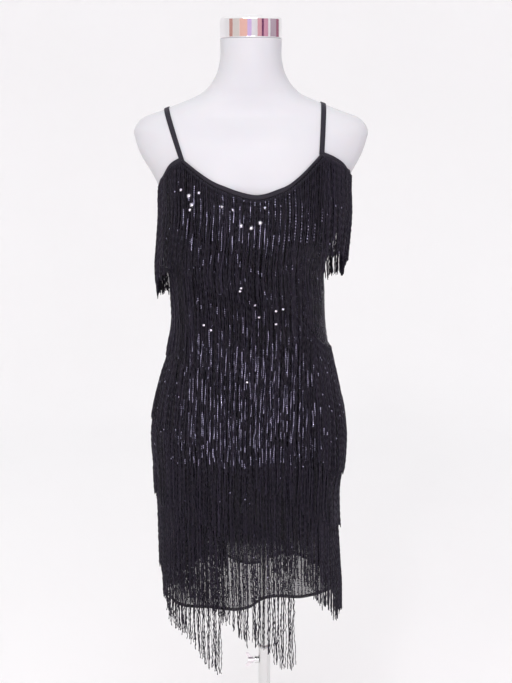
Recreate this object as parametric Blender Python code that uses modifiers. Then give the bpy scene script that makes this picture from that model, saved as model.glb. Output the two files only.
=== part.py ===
# Sequin fringe dress on a display form, with the form's height-adjustable stand.
#
# Metres, +Z up, the dress's front towards -Y. The origin is the middle of the base's underside,
# on the pole's axis. The form stands a little to the left of its pole, at FORM_X.
# A point on the form or the cloth is named by its turn (0 at the wearer's left side seam, which is
# on the right seen from the front, 90 degrees at the front, 180 at the other seam, 270 at the back)
# and its height above the floor.

import math
from collections import namedtuple

import bmesh
import bpy
import numpy as np

# Stand
BASE_RADIUS = 0.150
BASE_EDGE = 0.008
BASE_CROWN = 0.014
BOSS_RADIUS = 0.020
BOSS_TOP = 0.038
OUTER_TUBE_RADIUS = 0.0110
OUTER_TUBE_WALL = 0.0015
OUTER_TUBE_TOP = 0.434
INNER_TUBE_RADIUS = 0.0080
INNER_TUBE_WALL = 0.0012
INNER_TUBE_BOTTOM = 0.284
BUSHING_DEPTH = 0.040
BUSHING_RIM = 0.004
SCREW_HEIGHT = 0.408
SCREW_RADIUS = 0.0030
SCREW_BOSS_RADIUS = 0.0065
SCREW_BOSS_END = -0.0180
FIT = 0.0003
STAND_PIECES = ("base", "outer_tube", "bushing", "clamp_screw")

# Form
FORM_X = -0.024
FORM_BOTTOM = 0.815
NECK_TOP = 1.530
CAP_HEIGHT = 0.036
SQUARENESS = 0.035
BUST_HEIGHT = 1.213
BUST_SPREAD = 0.078
BUST_DEPTH = 0.036
BUST_WIDTH = 0.050
BUST_ABOVE = 0.062
BUST_BELOW = 0.048
FLANGE_RADIUS = 0.036
FLANGE_THICKNESS = 0.004
SOCKET_DEPTH = 0.034

# Cloth
CLOTH_OFF_FORM = 0.0015
CLOTH_WALL = 0.0012
BRIDGE_SHARE = 0.60
SEAM_GAP = 0.0004
BINDING_WIDTH = 0.0080
BINDING_RISE = 0.0010
LAID_GAP = 0.0005
BINDING_WALL = 0.0010
STRAP_WIDTH = 0.0085
STRAP_WALL = 0.0016
STRAP_OFF_FORM = 0.0014
STRAP_POINTS = 22
STRAP_ABOVE_EDGE = 0.0014
STRAP_ABOVE_BACK = 0.0032
RIGHT_STRAP_RIDGE = 0.1220
LEFT_STRAP_RIDGE = -0.1425
STRAP_BACK = 0.0985
STRAP_TURN = 53.0
CHEST_LEVEL = 1.250
RIB_LEVEL = 1.130
LOWEST_LEVEL = 0.600
ROWS_ABOVE_CHEST = 3
FOLD_START = 0.800
FOLD_DEPTH = 0.0050
FOLD_COUNT = 5

# Fringe
TAPE_HEIGHT = 0.010
TAPE_BELOW_BINDING = 0.003
FRINGE_WALL = 0.0012
FRINGE_OFF_FORM = 0.0036
FRINGE_LIFT = 0.0040
LAYER_GAP = 0.0020
LOCK_TURN = 12.0
LOCK_SHARE = 0.80
LOCK_TIP_SHARE = 0.42
LOCK_STEPS = 3
LOCK_UNEVEN = 0.03
FRINGE_LENGTH = 0.225
TOP_FRINGE_LENGTH = 0.165

# Middle is how far each section's middle lies to the right of FORM_X, seen from the front.
Section = namedtuple("Section", "height middle half_width front back")
FORM_SECTIONS = [
    Section(0.815, -0.005, 0.1605, 0.104, 0.112),
    Section(0.850, -0.005, 0.1640, 0.107, 0.119),
    Section(0.900, -0.004, 0.1585, 0.107, 0.118),
    Section(0.945, -0.003, 0.1490, 0.104, 0.108),
    Section(1.000, -0.001, 0.1355, 0.098, 0.093),
    Section(1.050, 0.000, 0.1270, 0.093, 0.084),
    Section(1.100, -0.002, 0.1270, 0.093, 0.084),
    Section(1.150, -0.005, 0.1295, 0.094, 0.089),
    Section(1.200, -0.001, 0.1425, 0.094, 0.095),
    Section(1.250, 0.002, 0.1535, 0.092, 0.098),
    Section(1.285, 0.001, 0.1590, 0.089, 0.098),
    Section(1.310, 0.001, 0.1710, 0.085, 0.095),
    Section(1.340, 0.000, 0.1880, 0.078, 0.089),
    Section(1.362, 0.000, 0.1955, 0.071, 0.081),
    Section(1.379, 0.000, 0.1985, 0.063, 0.072),
    Section(1.392, 0.000, 0.1920, 0.056, 0.063),
    Section(1.403, 0.000, 0.1785, 0.051, 0.058),
    Section(1.412, 0.000, 0.1530, 0.049, 0.056),
    Section(1.422, 0.000, 0.1275, 0.048, 0.055),
    Section(1.432, 0.000, 0.1020, 0.048, 0.054),
    Section(1.440, 0.000, 0.0850, 0.048, 0.053),
    Section(1.452, 0.000, 0.0714, 0.049, 0.052),
    Section(1.470, 0.000, 0.0595, 0.050, 0.051),
    Section(1.493, 0.000, 0.0525, 0.0505, 0.0510),
    Section(1.530, 0.000, 0.0515, 0.0515, 0.0515),
]
# Below the hips the cloth hangs free and draws in towards its hem.
SKIRT_SECTIONS = [
    Section(0.520, -0.001, 0.1530, 0.101, 0.108),
    Section(0.560, -0.001, 0.1525, 0.101, 0.109),
    Section(0.600, -0.002, 0.1520, 0.102, 0.110),
    Section(0.650, -0.003, 0.1510, 0.102, 0.111),
    Section(0.700, -0.004, 0.1500, 0.103, 0.114),
    Section(0.750, -0.005, 0.1520, 0.104, 0.117),
    Section(0.800, -0.004, 0.1600, 0.105, 0.118),
]

CLOTH_SECTIONS = SKIRT_SECTIONS + FORM_SECTIONS[1:]

# Across runs from -1 at the left seam to 1 at the right seam, seen from the front.
EdgePoint = namedtuple("EdgePoint", "across height")
LEFT_ARMHOLE = [
    EdgePoint(-1.000, 1.268),
    EdgePoint(-0.949, 1.290),
    EdgePoint(-0.855, 1.307),
    EdgePoint(-0.741, 1.325),
    EdgePoint(-0.620, 1.336),
]
NECKLINE = [
    EdgePoint(-0.620, 1.336),
    EdgePoint(-0.500, 1.313),
    EdgePoint(-0.385, 1.298),
    EdgePoint(-0.260, 1.289),
    EdgePoint(-0.120, 1.281),
    EdgePoint(0.070, 1.276),
    EdgePoint(0.260, 1.284),
    EdgePoint(0.390, 1.294),
    EdgePoint(0.500, 1.313),
    EdgePoint(0.620, 1.345),
]
RIGHT_ARMHOLE = [
    EdgePoint(0.620, 1.345),
    EdgePoint(0.745, 1.336),
    EdgePoint(0.893, 1.319),
    EdgePoint(0.970, 1.304),
    EdgePoint(1.000, 1.283),
]
BACK_TOP = [
    EdgePoint(-1.000, 1.268),
    EdgePoint(-0.643, 1.262),
    EdgePoint(-0.300, 1.243),
    EdgePoint(0.000, 1.237),
    EdgePoint(0.300, 1.243),
    EdgePoint(0.643, 1.262),
    EdgePoint(1.000, 1.283),
]
FRONT_HEM = [
    EdgePoint(-1.00, 0.550),
    EdgePoint(-0.80, 0.549),
    EdgePoint(-0.50, 0.553),
    EdgePoint(-0.12, 0.551),
    EdgePoint(0.00, 0.557),
    EdgePoint(0.12, 0.571),
    EdgePoint(0.60, 0.571),
    EdgePoint(1.00, 0.562),
]
BACK_HEM = [
    EdgePoint(-1.00, 0.550),
    EdgePoint(-0.45, 0.577),
    EdgePoint(0.00, 0.550),
    EdgePoint(0.45, 0.577),
    EdgePoint(1.00, 0.562),
]

# Each tape's height at five places across, how far across it runs on the front and the back, and
# how much its locks hang plumb (1) or cling to the cloth (0) where that draws in.
TapeLine = namedtuple(
    "TapeLine", "number left left_half middle right_half right front_end back_end plumb"
)
TAPE_LINES = [
    TapeLine(6, 0.780, 0.682, 0.620, 0.600, 0.590, -0.32, -0.30, 0.3),
    TapeLine(5, 0.833, 0.785, 0.722, 0.672, 0.640, 0.48, -0.26, 0.3),
    TapeLine(4, 0.969, 0.936, 0.894, 0.836, 0.735, 1.0, 1.0, 0.3),
    TapeLine(3, 1.108, 1.065, 1.018, 0.975, 0.904, 1.0, 1.0, 0.3),
    TapeLine(2, 1.234, 1.200, 1.158, 1.090, 1.004, 1.0, 1.0, 0.2),
]
TAPE_PLACES = (-1.0, -0.5, 0.0, 0.5, 1.0)


def smooth(places, values, at):
    """A smooth curve through the values: a cubic between neighbours, with each place's slope
    taken as the weighted mean of the slopes beside it."""
    places, values, at = (np.asarray(v, float) for v in (places, values, at))
    at = np.clip(at, places[0], places[-1])
    steps = np.diff(places)
    rises = np.diff(values) / steps
    slopes = np.concatenate([rises[:1], np.zeros(len(places) - 2), rises[-1:]])
    slopes[1:-1] = (rises[:-1] * steps[1:] + rises[1:] * steps[:-1]) / (steps[1:] + steps[:-1])
    k = np.clip(np.searchsorted(places, at, side="right") - 1, 0, len(steps) - 1)
    s = (at - places[k]) / steps[k]
    return (
        (1 + 2 * s) * (1 - s) ** 2 * values[k]
        + s * (1 - s) ** 2 * steps[k] * slopes[k]
        + s * s * (3 - 2 * s) * values[k + 1]
        + s * s * (s - 1) * steps[k] * slopes[k + 1]
    )


def column(table, name):
    return [getattr(row, name) for row in table]


def section_at(table, height):
    """Middle, half width, front depth and back depth of a table's section at this height."""
    heights = column(table, "height")
    names = ("middle", "half_width", "front", "back")
    return [smooth(heights, column(table, name), height) for name in names]


def bust(across, height, bridged):
    """How far the bust stands forward of the plain section. Cloth bridges the middle."""
    spread = np.where(height > BUST_HEIGHT, BUST_ABOVE, BUST_BELOW)
    rise = np.exp(-(((height - BUST_HEIGHT) / spread) ** 2))
    beside = np.abs(across) - BUST_SPREAD
    bump = np.exp(-((beside / BUST_WIDTH) ** 2))
    if bridged:
        ramp = np.clip(np.abs(across) / BUST_SPREAD, 0, 1) ** 2
        bridge = BRIDGE_SHARE + (1 - BRIDGE_SHARE) * ramp
        bump = np.where(beside < 0, np.maximum(bump, bridge), bump)
    return BUST_DEPTH * rise * bump


def sizes_at(turn, height, cloth):
    """Middle, half width and depth, at this turn, of the form's section or the cloth's inner side."""
    middle, half_width, front, back = section_at(CLOTH_SECTIONS if cloth else FORM_SECTIONS, height)
    at_front = np.sin(turn) >= 0
    depth = np.where(at_front, front, back)
    across = half_width * np.cos(turn)
    depth = depth + np.where(at_front, bust(across, height, cloth) * np.abs(np.sin(turn)), 0)
    if cloth:
        fallen = np.clip((FOLD_START - height) / (FOLD_START - SKIRT_SECTIONS[1].height), 0, 1.2)
        wave = FOLD_DEPTH * fallen * np.cos(FOLD_COUNT * turn + 0.6)
        half_width, depth = half_width + wave, depth + wave
    return middle, half_width, depth


def squared(turn):
    """How much further out than an ellipse a section runs, between its four ends."""
    return 1 + SQUARENESS * np.sin(2 * turn) ** 2


def place(turn, height, middle, half_width, depth):
    """The point of a section with these half sizes: an ellipse, slightly squared."""
    x = FORM_X + middle + half_width * squared(turn) * np.cos(turn)
    return np.stack([x, -depth * squared(turn) * np.sin(turn), height + 0 * turn], axis=-1)


def surface_point(turn, height, off=0.0, cloth=True):
    """A point of the form or cloth, moved out along the surface's normal."""
    turn, height = np.broadcast_arrays(np.asarray(turn, float), np.asarray(height, float))
    step = 1e-4
    point, beside, above = (
        place(a, h, *sizes_at(a, h, cloth))
        for a, h in ((turn, height), (turn + step, height), (turn, height + step))
    )
    normal = np.cross(above - point, beside - point)
    return point + off * normal / np.linalg.norm(normal, axis=-1, keepdims=True)


def across_at(turn):
    """How far across this turn lies, from -1 to 1, as a share of the half width."""
    return np.cos(turn) * squared(turn)


def edge_height(table, turn):
    return smooth(column(table, "across"), column(table, "height"), across_at(turn))


def top_height(turn, half):
    """The dress's top edge, with a corner where each strap joins it."""
    if half == "back":
        return edge_height(BACK_TOP, turn)
    across, strap = across_at(turn), NECKLINE[-1].across
    beside = np.where(across > 0, edge_height(RIGHT_ARMHOLE, turn), edge_height(LEFT_ARMHOLE, turn))
    return np.where(np.abs(across) < strap, edge_height(NECKLINE, turn), beside)


def turns(first, last, count):
    return np.radians(np.linspace(first, last, count + 1))


def body_levels():
    """Heights of the rings that the form and the cloth on it share, closest over the bust."""
    bust_levels = np.linspace(CHEST_LEVEL, RIB_LEVEL, 8)
    return np.concatenate([bust_levels[:-1], np.linspace(RIB_LEVEL, FORM_BOTTOM, 11)])


def panel_turns(half, seam_gap=SEAM_GAP):
    """The columns of one half of the dress, with one exactly at each strap."""
    start = 0 if half == "front" else 180
    gap = math.degrees(seam_gap / 2 / 0.1)
    return np.concatenate(
        [
            turns(start + gap, start + STRAP_TURN, 5)[:-1],
            turns(start + STRAP_TURN, start + 180 - STRAP_TURN, 8)[:-1],
            turns(start + 180 - STRAP_TURN, start + 180 - gap, 5),
        ]
    )


# Scene and object helpers


def clear_scene():
    for obj in list(bpy.data.objects):
        bpy.data.objects.remove(obj, do_unlink=True)


def new_collection(name):
    made = bpy.data.collections.new(name)
    bpy.context.scene.collection.children.link(made)
    return made


def material(name, colour, roughness, metallic=0.0):
    made = bpy.data.materials.new(name)
    made.use_nodes = True
    shader = made.node_tree.nodes["Principled BSDF"]
    shader.inputs["Base Color"].default_value = (*colour, 1.0)
    shader.inputs["Roughness"].default_value = roughness
    shader.inputs["Metallic"].default_value = metallic
    return made


def mesh_object(name, points, faces, look, group, smooth_angle=40):
    mesh = bpy.data.meshes.new(name)
    mesh.from_pydata([tuple(p) for p in np.asarray(points).reshape(-1, 3)], [], faces)
    mesh.materials.append(look)
    mesh.shade_smooth()
    mesh.set_sharp_from_angle(angle=math.radians(smooth_angle))
    obj = bpy.data.objects.new(name, mesh)
    group.objects.link(obj)
    return obj


def grid_faces(rows, columns, wrap=False):
    """Quads of a grid of points, facing out where turns grow along a row and each row is lower."""
    faces = []
    for row in range(0, (rows - 1) * columns, columns):
        for here in range(columns if wrap else columns - 1):
            beside = (here + 1) % columns
            below = row + columns
            faces.append((row + here, row + beside, below + beside, below + here))
    return faces


def thicken(obj, wall):
    """Gives an open surface its wall, on the outer side."""
    solidify = obj.modifiers.new("Wall", "SOLIDIFY")
    solidify.thickness = wall
    solidify.offset = 1.0
    solidify.use_rim = True
    return obj


def turned(name, profile, look, group, steps=40):
    """A turned piece: the closed outline of (radius, height) points, spun about the Z axis."""
    mesh = bpy.data.meshes.new(name)
    closed_outline = profile[0][0] > 1e-9
    edges = [(i, i + 1) for i in range(len(profile) - 1)]
    if closed_outline:
        edges.append((len(profile) - 1, 0))
    mesh.from_pydata([(radius, 0, height) for radius, height in profile], edges, [])
    mesh.materials.append(look)
    obj = bpy.data.objects.new(name, mesh)
    group.objects.link(obj)
    screw = obj.modifiers.new("Turn", "SCREW")
    screw.steps = screw.render_steps = steps
    screw.use_merge_vertices = True
    screw.merge_threshold = 1e-5
    screw.use_smooth_shade = True
    return obj


def cylinder_along_x(name, radius, x_from, x_to, height, look, group, sides=24):
    mesh = bpy.data.meshes.new(name)
    bm = bmesh.new()
    bmesh.ops.create_cone(
        bm, cap_ends=True, segments=sides, radius1=radius, radius2=radius, depth=abs(x_to - x_from)
    )
    bm.to_mesh(mesh)
    bm.free()
    mesh.materials.append(look)
    obj = bpy.data.objects.new(name, mesh)
    obj.rotation_euler = (0, math.pi / 2, 0)
    obj.location = ((x_from + x_to) / 2, 0, height)
    group.objects.link(obj)
    return obj


def as_cutter(obj):
    obj.hide_render = True
    obj.display_type = "WIRE"
    return obj


def combine(obj, other, operation):
    boolean = obj.modifiers.new(operation.title(), "BOOLEAN")
    boolean.operation = operation
    boolean.object = as_cutter(other)
    boolean.solver = "EXACT"


# Stand


def build_base(look, group):
    inner = OUTER_TUBE_RADIUS + FIT
    profile = [
        (0, BASE_CROWN),
        (inner, BASE_CROWN),
        (inner, BOSS_TOP),
        (BOSS_RADIUS - 0.002, BOSS_TOP),
        (BOSS_RADIUS, BOSS_TOP - 0.002),
        (BOSS_RADIUS, BASE_CROWN + 0.004),
        (BOSS_RADIUS + 0.004, BASE_CROWN),
        (BASE_RADIUS * 0.6, BASE_CROWN - 0.0015),
        (BASE_RADIUS - 0.012, BASE_EDGE + 0.0015),
        (BASE_RADIUS - 0.003, BASE_EDGE),
        (BASE_RADIUS, BASE_EDGE - 0.003),
        (BASE_RADIUS, 0.0015),
        (BASE_RADIUS - 0.0015, 0),
        (0, 0),
    ]
    turned("base", profile, look, group, steps=40)


def tube_profile(outer, wall, bottom, top):
    inner = outer - wall
    return [(outer, top), (outer, bottom), (inner, bottom), (inner, top)]


def screw_hole(name, look, cutters):
    """A cutter for the clamp screw's hole, from outside the boss to inside the inner tube's wall."""
    start, end = SCREW_BOSS_END - 0.010, -INNER_TUBE_RADIUS / 2
    return cylinder_along_x(name, SCREW_RADIUS + FIT, start, end, SCREW_HEIGHT, look, cutters, 16)


def build_outer_tube(look, group, cutters):
    tube = turned(
        "outer_tube",
        tube_profile(OUTER_TUBE_RADIUS, OUTER_TUBE_WALL, BASE_CROWN + FIT, OUTER_TUBE_TOP),
        look,
        group,
        steps=24,
    )
    middle_of_wall = -OUTER_TUBE_RADIUS + OUTER_TUBE_WALL / 2
    boss = cylinder_along_x(
        "screw_boss", SCREW_BOSS_RADIUS, SCREW_BOSS_END, middle_of_wall, SCREW_HEIGHT, look, cutters
    )
    combine(tube, boss, "UNION")
    combine(tube, screw_hole("tube_screw_hole", look, cutters), "DIFFERENCE")


def build_bushing(look, group, cutters):
    inner = INNER_TUBE_RADIUS + FIT
    outer = OUTER_TUBE_RADIUS - OUTER_TUBE_WALL - FIT
    rim_bottom = OUTER_TUBE_TOP + FIT
    rim_top = rim_bottom + BUSHING_RIM
    rim_radius = OUTER_TUBE_RADIUS + 0.0008
    profile = [
        (inner, rim_top),
        (rim_radius - 0.001, rim_top),
        (rim_radius, rim_top - 0.001),
        (rim_radius, rim_bottom),
        (outer, rim_bottom),
        (outer, OUTER_TUBE_TOP - BUSHING_DEPTH),
        (inner, OUTER_TUBE_TOP - BUSHING_DEPTH),
    ]
    bushing = turned("bushing", profile, look, group, steps=24)
    combine(bushing, screw_hole("bushing_screw_hole", look, cutters), "DIFFERENCE")


def prism_along_y(name, outline, thickness, look, group):
    """The outline of (x, z) points, extruded both ways from the plane y = 0."""
    mesh = bpy.data.meshes.new(name)
    bm = bmesh.new()
    face = bm.faces.new([bm.verts.new((x, -thickness / 2, z)) for x, z in outline])
    grown = bmesh.ops.extrude_face_region(bm, geom=[face])["geom"]
    moved = [v for v in grown if isinstance(v, bmesh.types.BMVert)]
    bmesh.ops.translate(bm, verts=moved, vec=(0, thickness, 0))
    bmesh.ops.recalc_face_normals(bm, faces=bm.faces)
    bm.to_mesh(mesh)
    bm.free()
    mesh.materials.append(look)
    obj = bpy.data.objects.new(name, mesh)
    group.objects.link(obj)
    return obj


def build_clamp_screw(look, group, cutters):
    """A wing screw: its shaft stops just short of the inner tube."""
    tip = -(INNER_TUBE_RADIUS + FIT)
    shaft = cylinder_along_x("clamp_screw", SCREW_RADIUS, -0.026, tip, SCREW_HEIGHT, look, group, 16)
    hub = cylinder_along_x("wing_hub", 0.0060, -0.0300, -0.0205, SCREW_HEIGHT, look, cutters, 20)
    upper = [(-0.0225, 0), (-0.0230, 0.0060), (-0.0300, 0.0135), (-0.0345, 0.0140), (-0.0350, 0.0100)]
    upper += [(-0.0290, 0.0040), (-0.0280, 0)]
    outline = upper + [(x, -z) for x, z in reversed(upper[1:-1])]
    outline = [(x, z + SCREW_HEIGHT) for x, z in outline]
    wings = prism_along_y("wings", outline, 0.0028, look, cutters)
    combine(shaft, hub, "UNION")
    combine(shaft, wings, "UNION")


def build_inner_tube(look, group):
    top = FORM_BOTTOM - FIT - FLANGE_THICKNESS - FIT
    turned(
        "inner_tube",
        tube_profile(INNER_TUBE_RADIUS, INNER_TUBE_WALL, INNER_TUBE_BOTTOM, top),
        look,
        group,
        steps=24,
    )


def build_pole_socket(look, group):
    """The flange screwed under the form, with the socket that turns on the inner tube."""
    top = FORM_BOTTOM - FIT
    plate = top - FLANGE_THICKNESS
    bore = INNER_TUBE_RADIUS + FIT
    profile = [
        (0, top),
        (FLANGE_RADIUS - 0.001, top),
        (FLANGE_RADIUS, top - 0.001),
        (FLANGE_RADIUS, plate),
        (bore + 0.004, plate),
        (bore + 0.003, plate - 0.002),
        (bore + 0.003, top - SOCKET_DEPTH),
        (bore, top - SOCKET_DEPTH),
        (bore, plate),
        (0, plate),
    ]
    turned("pole_socket", profile, look, group, steps=24)


# Form


def build_form(look, group):
    """The limbless form: rings through its sections, closed below and at the neck."""
    shoulders = [s.height for s in FORM_SECTIONS if s.height > 1.3]
    chest = [1.325, 1.290, 1.270]
    levels = np.array(sorted(shoulders + chest, reverse=True) + list(body_levels()))
    around = np.concatenate([panel_turns("front", 0)[:-1], panel_turns("back", 0)[:-1]])
    turn, height = np.meshgrid(around, levels)
    points = surface_point(turn, height, cloth=False).reshape(-1, 3)
    count = len(around)
    faces = grid_faces(len(levels), count, wrap=True)
    faces.append(tuple(reversed(range(count))))
    faces.append(tuple(range(len(points) - count, len(points))))
    mesh_object("form", points, faces, look, group)


def build_neck_cap(look, group):
    bottom = NECK_TOP + FIT
    top = bottom + CAP_HEIGHT
    radius = 0.0520
    profile = [
        (0, top),
        (radius * 0.6, top - 0.0006),
        (radius - 0.003, top - 0.0018),
        (radius, top - 0.005),
        (radius, bottom + 0.0015),
        (radius - 0.0015, bottom),
        (0, bottom),
    ]
    turned("neck_cap", profile, look, group, steps=36).location.x = FORM_X


# Cloth


def panel_heights(turn, half):
    """The heights of a panel's rows at this turn, from its top edge to its hem."""
    top_line = top_height(turn, half)
    hem_line = edge_height(FRONT_HEM if half == "front" else BACK_HEM, turn)
    skirt = np.linspace(FORM_BOTTOM, LOWEST_LEVEL, 5)[1:]
    levels = np.concatenate([body_levels(), skirt])[:, None] + 0 * top_line
    share = np.linspace(0, 1, ROWS_ABOVE_CHEST + 1)[:-1, None]
    above = top_line + (CHEST_LEVEL - top_line) * share
    return np.concatenate([above, levels, hem_line + 0 * levels[:1]])


def build_panel(name, half, look, group):
    columns = panel_turns(half)
    heights = panel_heights(columns, half)
    points = surface_point(columns, heights, CLOTH_OFF_FORM)
    faces = grid_faces(len(heights), len(columns))
    thicken(mesh_object(name, points, faces, look, group), CLOTH_WALL)


def build_binding(name, columns, half, look, group):
    """The folded elastic along a top edge, laid on the panel's first row, moved out."""
    rows = panel_heights(columns, half)[:2]
    edge, below = surface_point(columns, rows, CLOTH_OFF_FORM + CLOTH_WALL + LAID_GAP)
    fall = (rows[0] - rows[1])[:, None]
    drops = (-BINDING_RISE, BINDING_WIDTH - BINDING_RISE)
    points = np.stack([edge + (below - edge) * drop / fall for drop in drops])
    faces = grid_faces(2, len(columns))
    thicken(mesh_object(name, points, faces, look, group), BINDING_WALL)


def build_bindings(look, group):
    front, back = panel_turns("front"), panel_turns("back")
    gap = math.radians(0.25)
    strap = math.radians(STRAP_TURN)
    pieces = (
        ("armhole_binding_right", front[front < strap + 1e-6], "front"),
        ("neck_binding", front[(front > strap - 1e-6) & (front < math.pi - strap + 1e-6)], "front"),
        ("armhole_binding_left", front[front > math.pi - strap - 1e-6], "front"),
        ("back_binding", back, "back"),
    )
    for name, columns, half in pieces:
        columns = np.array(columns)
        columns[0] += gap
        columns[-1] -= gap
        build_binding(name, columns, half, look, group)


def ridge_height(x):
    """The height of the shoulder line this far from the form's middle."""
    widths = np.array(column(FORM_SECTIONS, "half_width"))
    widest = int(np.argmax(widths))
    heights = np.linspace(FORM_SECTIONS[widest].height, NECK_TOP, 400)
    return float(np.interp(-abs(x), -smooth(column(FORM_SECTIONS, "height"), widths, heights), heights))


def form_slice(x_start, x_ridge, start, side):
    """Points of the form from this height up to the shoulder line, while x runs to x_ridge."""
    ridge = ridge_height(x_ridge) - 1e-5
    share = 1 - (1 - np.linspace(0, 1, 60)) ** 2
    heights = start + (ridge - start) * share
    x = x_start + (x_ridge - x_start) * share
    middle, half_width = section_at(FORM_SECTIONS, heights)[:2]
    across = (x - middle) / half_width
    turn = np.arccos(np.clip(across, -1, 1))
    for _ in range(8):
        turn = np.arccos(np.clip(across / squared(turn), -1, 1))
    return place(side * turn, heights, *sizes_at(side * turn, heights, False))


def taut_line(points):
    """The points that a string pulled over all of them, front to back, would touch."""
    kept = [0]
    while kept[-1] < len(points) - 1:
        ahead = points[kept[-1] + 1 :] - points[kept[-1]]
        angles = np.arctan2(ahead[:, 2], ahead[:, 1])
        kept.append(kept[-1] + 1 + int(np.argmax(angles)))
    return points[kept]


def spaced(points, count):
    """The line through the points, with evenly spaced points, moved out across the line."""
    steps = np.linalg.norm(np.diff(points, axis=0), axis=1)
    along = np.concatenate([[0], np.cumsum(steps)])
    even = np.linspace(0, along[-1], count)
    line = np.stack([np.interp(even, along, points[:, k]) for k in range(3)], axis=1)
    way = np.gradient(line, axis=0)
    out = np.stack([0 * even, -way[:, 2], way[:, 1]], axis=1)
    return line + STRAP_OFF_FORM * out / np.linalg.norm(out, axis=1, keepdims=True)


def build_strap(name, x_front, x_ridge, x_back, from_height, to_height, look, group):
    edges = []
    for shift in (-STRAP_WIDTH / 2, 0.0, STRAP_WIDTH / 2):
        front = form_slice(x_front + shift, x_ridge + shift, from_height, 1)
        back = form_slice(x_back + shift, x_ridge + shift, to_height, -1)
        whole = np.concatenate([front, back[::-1][1:]])
        edges.append(spaced(taut_line(whole), STRAP_POINTS))
    points = np.stack(edges, axis=1)
    faces = grid_faces(len(points), 3)
    thicken(mesh_object(name, points, faces, look, group), STRAP_WALL)


def build_straps(look, group):
    strap = math.radians(STRAP_TURN)
    for name, turn, x_ridge in (
        ("strap_right", strap, RIGHT_STRAP_RIDGE),
        ("strap_left", math.pi - strap, LEFT_STRAP_RIDGE),
    ):
        front = float(top_height(turn, "front")) + STRAP_ABOVE_EDGE
        back = float(top_height(turn, "back")) + STRAP_ABOVE_BACK
        x_front = float(surface_point(turn, front)[0]) - FORM_X
        x_back = math.copysign(STRAP_BACK, x_front)
        build_strap(name, x_front, x_ridge, x_back, front, back, look, group)


# Fringe


def tape_height(line, turn):
    if line.number == 1:
        half = "front" if np.sin(np.mean(turn)) > 0 else "back"
        return top_height(turn, half) - BINDING_WIDTH - TAPE_BELOW_BINDING
    values = (line.left, line.left_half, line.middle, line.right_half, line.right)
    return smooth(TAPE_PLACES, values, across_at(turn))


TOP_LINE = TapeLine(1, 0, 0, 0, 0, 0, 1.0, 1.0, 1.0)
LINES_FROM_HEM = TAPE_LINES + [TOP_LINE]
HANG_HEIGHTS = np.arange(1.36, 0.38, -0.003)


def fringe_length(line):
    return TOP_FRINGE_LENGTH if line.number == 1 else FRINGE_LENGTH


def reach(line, half):
    """The first and last turn, in degrees, of one half of a tape. A short tape starts at the left seam."""
    end = math.degrees(math.acos(line.front_end if half == "front" else line.back_end))
    margin = 0.6
    if half == "front":
        return end + margin, 180 - margin
    return 180 + margin, 360 - end - margin


def knot_heights(line, turn):
    """Heights of the tape's two edges and of a lock's joints down to its tip."""
    top = float(tape_height(line, turn))
    length = fringe_length(line) * (1 + LOCK_UNEVEN * math.sin(13 * turn + line.number))
    share = np.linspace(0, 1, LOCK_STEPS + 1)
    return np.concatenate([[top], top - TAPE_HEIGHT - (length - TAPE_HEIGHT) * share])


def outside(heights, path, knots):
    """Sizes at the knots whose straight lines lie nowhere inside the path."""
    sizes = np.interp(-knots, -heights, path)
    for k in range(len(knots) - 1):
        between = (heights <= knots[k]) & (heights >= knots[k + 1])
        line = np.interp(-heights[between], -knots, sizes)
        sizes[k : k + 2] += max(0.0, float(np.max(path[between] - line, initial=0.0)))
    return sizes


def hanging(turn, wanted, half):
    """A lock's knots at one turn: their heights, middles, half widths and depths, on the inner side.
    A lock lies on the cloth where that swells, hangs nearer to plumb where it draws in, and clears
    every row under it."""
    heights = HANG_HEIGHTS
    rows = panel_heights(turn, half)[:, 0]
    sections = sizes_at(turn + 0 * rows, rows, True)
    middle, *cloth = (np.interp(-heights, -rows, size) for size in sections)
    slopes = [np.sqrt(1 + np.gradient(size, heights) ** 2) for size in cloth]
    outer = [np.full(len(heights), -1.0), np.full(len(heights), -1.0)]
    for line in LINES_FROM_HEM:
        first, last = reach(line, half)
        if not first - LOCK_TURN / 2 <= math.degrees(turn) <= last + LOCK_TURN / 2:
            continue
        knots = knot_heights(line, turn)
        hangs = (heights <= knots[0] + 0.006) & (heights >= knots[-1] - 0.012)
        fallen = np.clip((knots[0] - heights) / (knots[0] - knots[-1]), 0, 1)
        lift = FRINGE_OFF_FORM + FRINGE_LIFT * fallen**0.8
        sizes = []
        for size, slope, under in zip(cloth, slopes, outer):
            least = np.where(hangs, np.maximum(size + lift * slope, under + LAYER_GAP), -1.0)
            plumb = np.maximum.accumulate(least)
            path = least + line.plumb * (plumb - least)
            sizes.append(outside(heights, path, knots))
        if line.number == wanted.number:
            return knots, np.interp(-knots, -heights, middle), *sizes
        outer = [
            np.where(hangs, np.interp(-heights, -knots, size) + FRINGE_WALL, under)
            for under, size in zip(outer, sizes)
        ]
    raise ValueError("no such row here")


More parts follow.
